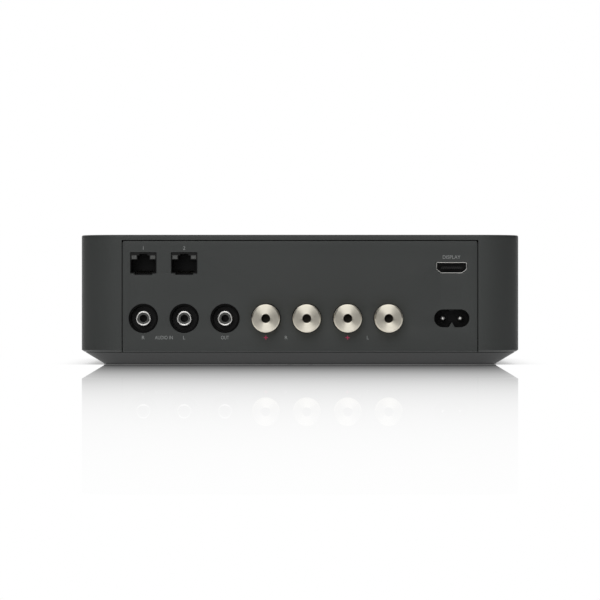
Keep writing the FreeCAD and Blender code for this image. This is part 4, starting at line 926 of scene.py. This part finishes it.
def panelShape():
    half, top, edge, bend = panel["half"], panel["top"], panel["edge"], panel["bend"]
    low, back, radius = bend - lipReach, -case["wall"], panel["cornerRadius"]
    corners = [(-half, low), (half, low), (half, bend), (half, top), (-half, top), (-half, bend)]
    outer = roundedLine(corners, [0, 0, 0, radius, radius, 0], 7, closed=True)
    rim = growLoop(outer, -edge)
    rim[np.abs(outer[:, 1] - low) < exact] = [(-half + edge, low), (half - edge, low)]
    layers = [atHeight(outer, back)]
    layers += [atHeight(outer + (rim - outer) * i, -edge * s) for i, s in rounding(1, 4)]
    shapes = [gridShape([bentPlace(layer) for layer in layers])]
    holes = panelHoles()
    rims = [growLoop(hole, panel["holeEdge"]) for hole in holes]
    layers = edgeLayers(1, panel["holeEdge"], back, 0)
    shapes += [wall(hole, layers, bentPlace) for hole in holes]
    for loop, others, height in ((rim, rims, 0.0), (outer, holes, back)):
        upright = loop[loop[:, 1] > bend - exact]
        shapes.append(sheet([upright] + others, height, bentPlace))
        lip = [loop[np.abs(loop[:, 1] - level) < exact] for level in (bend, low)]
        lip = [bentPlace(atHeight(pair[np.argsort(pair[:, 0])], height)) for pair in lip]
        shapes.append(gridShape(lip, closeColumns=False))
    for side in (-1, 1):
        a, b = sorted((side * panel["tongueInner"], side * panel["tongueOuter"]))
        loop = boxLoop((a, panel["tongueLow"]), (b, panel["tongueHigh"]), panel["tongueCorner"], 3)
        shapes.append(plate(loop, [], panel["tongueBack"], panel["tongueFront"],
                            panel["tongueEdge"], facingRear))
    return joinShapes(shapes)


audio = {
    "outer": 7.1, "bore": 6.3, "floor": 99.5, "back": 96.0, "edge": 0.3,
    "shellOuter": 3.58, "shellInner": 2.86, "shellFront": 108.0, "shellTip": 3.52,
    "shellTaper": 0.6, "shellEdges": (0.3, 0.2, 0.2),
    "insulatorOuter": 2.85, "insulatorInner": 1.85, "insulatorFront": 107.0, "insulatorEdge": 0.25,
    "contactOuter": 1.8, "contactInner": 1.6, "contactFront": 103.0, "contactBack": 96.5,
    "contactEdge": 0.08, "barLow": (28.5, 14.52), "barHigh": (85.5, 31.22), "barFront": 105.9,
    "barCorner": 0.8, "barHole": 6.7, "sunk": 0.3, "steps": 96,
}


def ringProfile(outer, inner, back, front, edge, backEdge=0.05):
    # section of a tube with rounded front rims, outer and inner, as (radius, place along)
    corners = [(outer, back), (outer, front), (inner, front), (inner, back)]
    return roundedLine(corners, [backEdge, edge, edge, backEdge], 6, closed=True)


def makeAudioSockets():
    z, steps, floor, front = row["height"], audio["steps"], audio["floor"], row["front"]
    outer, bore, back, edge = audio["outer"], audio["bore"], audio["back"], audio["edge"]
    axes = [("Y", x, z) for x in row["audioX"]]
    dish = roundedLine([(0, back), (outer, back), (outer, front), (bore, front), (bore, floor),
                        (0, floor)], [0, 0.2, edge, edge, 0.7, 0], 6)
    dishes = [turnedShape(dish, steps, axis) for axis in axes]
    holes = [circleLoop((x, z), audio["barHole"]) for x in row["audioX"]]
    bar = plate(boxLoop(audio["barLow"], audio["barHigh"], audio["barCorner"]), holes, back,
                audio["barFront"], edge, facingRear)
    # the wells inside the dishes take the lighter grey finish: painted light against their shade
    makePiece("audioDishes", joinShapes(dishes + [bar]), "root", "dish",
              ["audio_jack_block"], axis=axes, lining=(bore + 0.02, floor - 1, "well"))
    front, inner = audio["shellFront"], audio["shellInner"]
    shellProfile = roundedLine(
        [(audio["shellOuter"], floor), (audio["shellOuter"], front - audio["shellTaper"]),
         (audio["shellTip"], front), (inner, front), (inner, floor)],
        [0.05, *audio["shellEdges"], 0.05], 6, closed=True)
    parts = (
        ("audioShells", "nickel", "nickel", "audio_jack_shells", shellProfile),
        ("audioInsulators", "insulator", "insulator_plastic", "audio_jack_insulators",
         ringProfile(audio["insulatorOuter"], audio["insulatorInner"], floor - audio["sunk"],
                     audio["insulatorFront"], audio["insulatorEdge"])),
        # the contacts take the darkened finish: painted shade deep in the socket
        ("audioContacts", "contact", "nickel", "audio_jack_contacts",
         ringProfile(audio["contactOuter"], audio["contactInner"], audio["contactBack"],
                     audio["contactFront"], audio["contactEdge"])),
    )
    for name, kind, slotName, node, profile in parts:
        shapes = [turnedShape(profile, steps, axis, closed=True) for axis in axes]
        makePiece(name, joinShapes(shapes), "root", kind, [node],
                  axis=axes if kind == "nickel" else None)


post = {
    "outer": 6.9, "back": 98.5, "front": 118.5, "chamfer": 0.6, "bore": 4.05, "shoulder": 115.0,
    "hole": 2.17, "holeEdge": 0.25, "dishing": 1.6, "knurls": 36, "knurlDepth": 0.25,
    "knurlWidth": 0.5, "knurlLow": 110.0, "knurlHigh": 116.5, "knurlRun": 0.2, "steps": 360,
    "clampOuter": 4.0, "clampBack": 112.3, "clampFront": 114.9, "clampEdge": 0.15,
    "pin": 2.0, "pinTip": 77.5, "pinChamfer": 0.67, "flange": 6.0, "flangeBack": 96.5,
    "flangeFront": 98.0, "stem": 4.0, "stemFront": 112.0, "innerSteps": 64,
}


def knurl(angle, along, radius):
    # a groove at each 1/36 turn: full depth within half its width, run out at both ends
    pitch, end = 2 * math.pi / post["knurls"], post["knurlRun"] / 2
    off = np.abs((angle + pitch / 2) % pitch - pitch / 2) * post["outer"]
    across = np.clip(1.5 - off / (post["knurlWidth"] / 2), 0, 1)
    run = (along > post["knurlLow"] + end) & (along < post["knurlHigh"] - end)
    return post["knurlDepth"] * across * run * (radius > post["outer"] - close)


def makePosts():
    # three turned pieces to a post: the way of the wire is lined with a darker, dull finish,
    # painted shade for the depth of the hole
    r, c, hole, bore = post["outer"], post["chamfer"], post["hole"], post["bore"]
    low, high, run, shoulder = (post[k] for k in ("knurlLow", "knurlHigh", "knurlRun", "shoulder"))
    back, front = post["back"], post["front"]
    capProfile = roundedLine(
        [(r, back + c), (r, low), (r, low + run), (r, high - run), (r, high), (r, front - c),
         (r - c, front), (hole + post["dishing"], front), (hole, front), (hole, shoulder),
         (bore, shoulder), (bore, back), (r - c, back)],
        [0, 0, 0, 0, 0, 0.12, 0.12, 0, post["holeEdge"], 0.05, 0, 0.15, 0.1], 4, closed=True)
    edge = post["clampEdge"]
    clampProfile = ringProfile(post["clampOuter"], hole, post["clampBack"], post["clampFront"],
                               edge, edge)
    pin, tip, cut, stem = post["pin"], post["pinTip"], post["pinChamfer"], post["stem"]
    flange, back, front = post["flange"], post["flangeBack"], post["flangeFront"]
    plugProfile = roundedLine(
        [(0, tip), (pin - cut, tip), (pin, tip + cut), (pin, back), (flange, back),
         (flange, front), (stem, front), (stem, post["stemFront"]), (hole, post["stemFront"]),
         (hole, front), (0, front)],
        [0, 0.1, 0.1, 0.1, 0.2, 0.2, 0.1, 0.15, 0.15, 0.1, 0], 4)
    # the wire's way takes the darker lining: painted shade inside the hole
    lining = (hole + close, front - close, "bore")
    for number, x in enumerate(row["postX"], 1):
        axis = ("Y", x, row["height"])
        shapes = {"cap": turnedShape(capProfile, post["steps"], axis, True, knurl),
                  "clamp": turnedShape(clampProfile, post["innerSteps"], axis, True),
                  "plug": turnedShape(plugProfile, post["innerSteps"], axis)}
        for part, shape in shapes.items():
            makePiece("post%s%d" % (part.capitalize(), number), shape,
                      "%s_%d" % (part, number), "post",
                      ["post_%s_%d" % (part, number)], sharp=28 if part == "cap" else 35,
                      axis=[axis], lining=lining)


def makeMainsPins():
    # round pins with domed tips, each with a flat leg down to its board
    z, r, half, edge = row["height"], inlet["pin"], inlet["legHalf"], inlet["legEdge"]
    back, front, dome = inlet["pinBack"], inlet["pinFront"], inlet["pinDome"]
    profile = [(0, back), (r, back)]
    profile += [(r * (1 - i), front - dome * s) for i, s in rounding(1, 9)]
    shapes, axes = [], []
    for side in (-1, 1):
        x = row["mainsX"] + side * inlet["pinPitch"] / 2
        axes.append(("Y", x, z))
        shapes.append(turnedShape(profile, 48, axes[-1]))
        leg = boxLoop((x - half, inlet["legFoot"]), (x + half, z - r * 0.8), edge, 3)
        shapes.append(plate(leg, [], back, back + 2 * half, edge, facingRear))
    makePiece("mainsPins", joinShapes(shapes), "root", "pin", ["mains_pins"], axis=axes)


# Printing: generic letters, numbers and marks only, as an ink film

prints = {
    "film": 0.02, "capital": 0.7, "tall": 1.75, "redTall": 2.8, "redBold": 0.015,
    "touchTall": 5.0, "rearFace": 108.5, "frontFace": -108.5,
    "grey": [("R", 77.1, 13.4, 0), ("AUDIO IN", 67.0, 13.4, 8.8), ("L", 57.0, 13.4, 0),
             ("OUT", 36.9, 13.4, 3.9), ("R", 6.8, 13.4, 0), ("L", -33.4, 13.4, 0),
             ("1", 77.1, 57.5, 0), ("2", 57.0, 57.5, 0), ("DISPLAY", -74.6, 53.0, 8.7)],
    "red": [("+", 16.8, 13.4, 0), ("+", -23.4, 13.4, 0)],
    "touch": [("-", 30.0, 40.0, 0), ("o", 0.0, 40.0, 0), ("+", -30.0, 40.0, 0)],
}


def letterShape(words, tall, wide=0, bold=0.0):
    # the words in Blender's own font as a closed sheet of ink, centred on its place. Wide, if not
    # 0, is the width that they are drawn in to.
    curve = bpy.data.curves.new("words", "FONT")
    curve.body = words
    curve.align_x, curve.align_y = "CENTER", "CENTER"
    # half of a thickness of 1, which the film's own thickness scales below
    curve.extrude = 0.5
    curve.offset = bold
    curve.resolution_u = 4
    flat = bpy.data.objects.new("words", curve)
    bpy.context.scene.collection.objects.link(flat)
    mesh = bpy.data.meshes.new_from_object(flat)
    points = np.zeros(len(mesh.vertices) * 3)
    mesh.vertices.foreach_get("co", points)
    faces = [list(p.vertices) for p in mesh.polygons]
    bpy.data.objects.remove(flat)
    points = points.reshape(-1, 3)
    high, low = points.max(axis=0), points.min(axis=0)
    size = tall / prints["capital"]
    across = wide / (high[0] - low[0]) if wide else size
    return (points - (high + low) / 2) * (across, size, prints["film"]), faces


def makePrints():
    # each word is laid on its face: its x runs to the right and its height is the ink's thickness
    rear, front = (-1, prints["rearFace"]), (1, prints["frontFace"])
    groups = (
        ("panelPrint", "ink", "grey", rear, "panel_plastic", prints["tall"], 0.0),
        ("polarityPrint", "redInk", "red", rear, "panel_plastic", prints["redTall"],
         prints["redBold"]),
        ("touchPrint", "ink", "touch", front, "cover_plastic", prints["touchTall"], 0.0))
    for name, kind, key, (turn, face), slotName, tall, bold in groups:
        shapes = []
        for words, x, z, wide in prints[key]:
            points, faces = letterShape(words, tall, wide, bold)
            depth = face - turn * (points[:, 2] + prints["film"] / 2)
            spots = np.column_stack([x + turn * points[:, 0], depth, z + points[:, 1]])
            shapes.append((spots, faces))
        makePiece(name, joinShapes(shapes), "root", kind)


def makeVideoShell():
    # a folded sheet: its outline carried from back to front, rounded over the front rim, and back
    # along the inside
    thick, back, rim = video["wall"], video["back"], video["wall"] / 2
    turn = np.linspace(0, math.pi, 9)
    layers = [(-rim * (1 - math.cos(t)), video["front"] - rim + rim * math.sin(t)) for t in turn]
    shell = wall(videoLoop(0), [(0.0, back)] + layers + [(-thick, back)], facingRear, True)
    makePiece("videoShell", shell, "root", "pin", ["video_jack_shell"], sharp=40)


makeCover()
pan = makePiece("basePan", baseShape(), "root", "base", ["base_pan"])
soften(pan, base["softEdge"])
makeDeckAndFoot()
makePiece("rearPanel", panelShape(), "root", "panel", ["rear_panel"])
print("case made")
makeAudioSockets()
makePosts()
makeVideoShell()
makeMainsPins()
print("sockets made")
makePrints()
print("printing laid on")


# CAD nodes that no piece stands for keep their shape and take a finish

nodeFinish = {
    "pin": ["speaker_socket_sleeves"], "steel": ["case_screws", "deck_screws", "board_screws"],
    # contacts deep in the jacks take the darkened finish: painted shade
    "gold": ["board_spacers"], "contact": ["network_contacts", "video_jack_contacts"],
    "window": ["light_pipe", "status_led", "network_lights"],
    "board": ["touch_board", "power_board", "amplifier_board", "network_board"],
    "pad": ["touch_pads", "thermal_pads"], "ribbon": ["touch_cable"],
    "jack": ["network_jack_1", "network_jack_2", "video_jack_core", "speaker_socket_block",
             "mains_inlet", "board_link", "antenna_leads"],
    "tin": ["network_shield_1", "network_shield_2", "radio_shield"],
    "ferrite": ["transformer_core", "line_choke", "output_inductors", "amplifier_chips"],
    "sleeve": ["bulk_capacitors"], "tape": ["transformer_coil"], "film": ["film_capacitors"],
    "fuse": ["fuse"], "aluminium": ["heat_sink"], "copper": ["antennas"],
}

for kind, names in nodeFinish.items():
    for name in names:
        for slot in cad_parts[name].material_slots:
            slot.material = finishes[kind]
print("CAD nodes finished:", sum(len(names) for names in nodeFinish.values()))
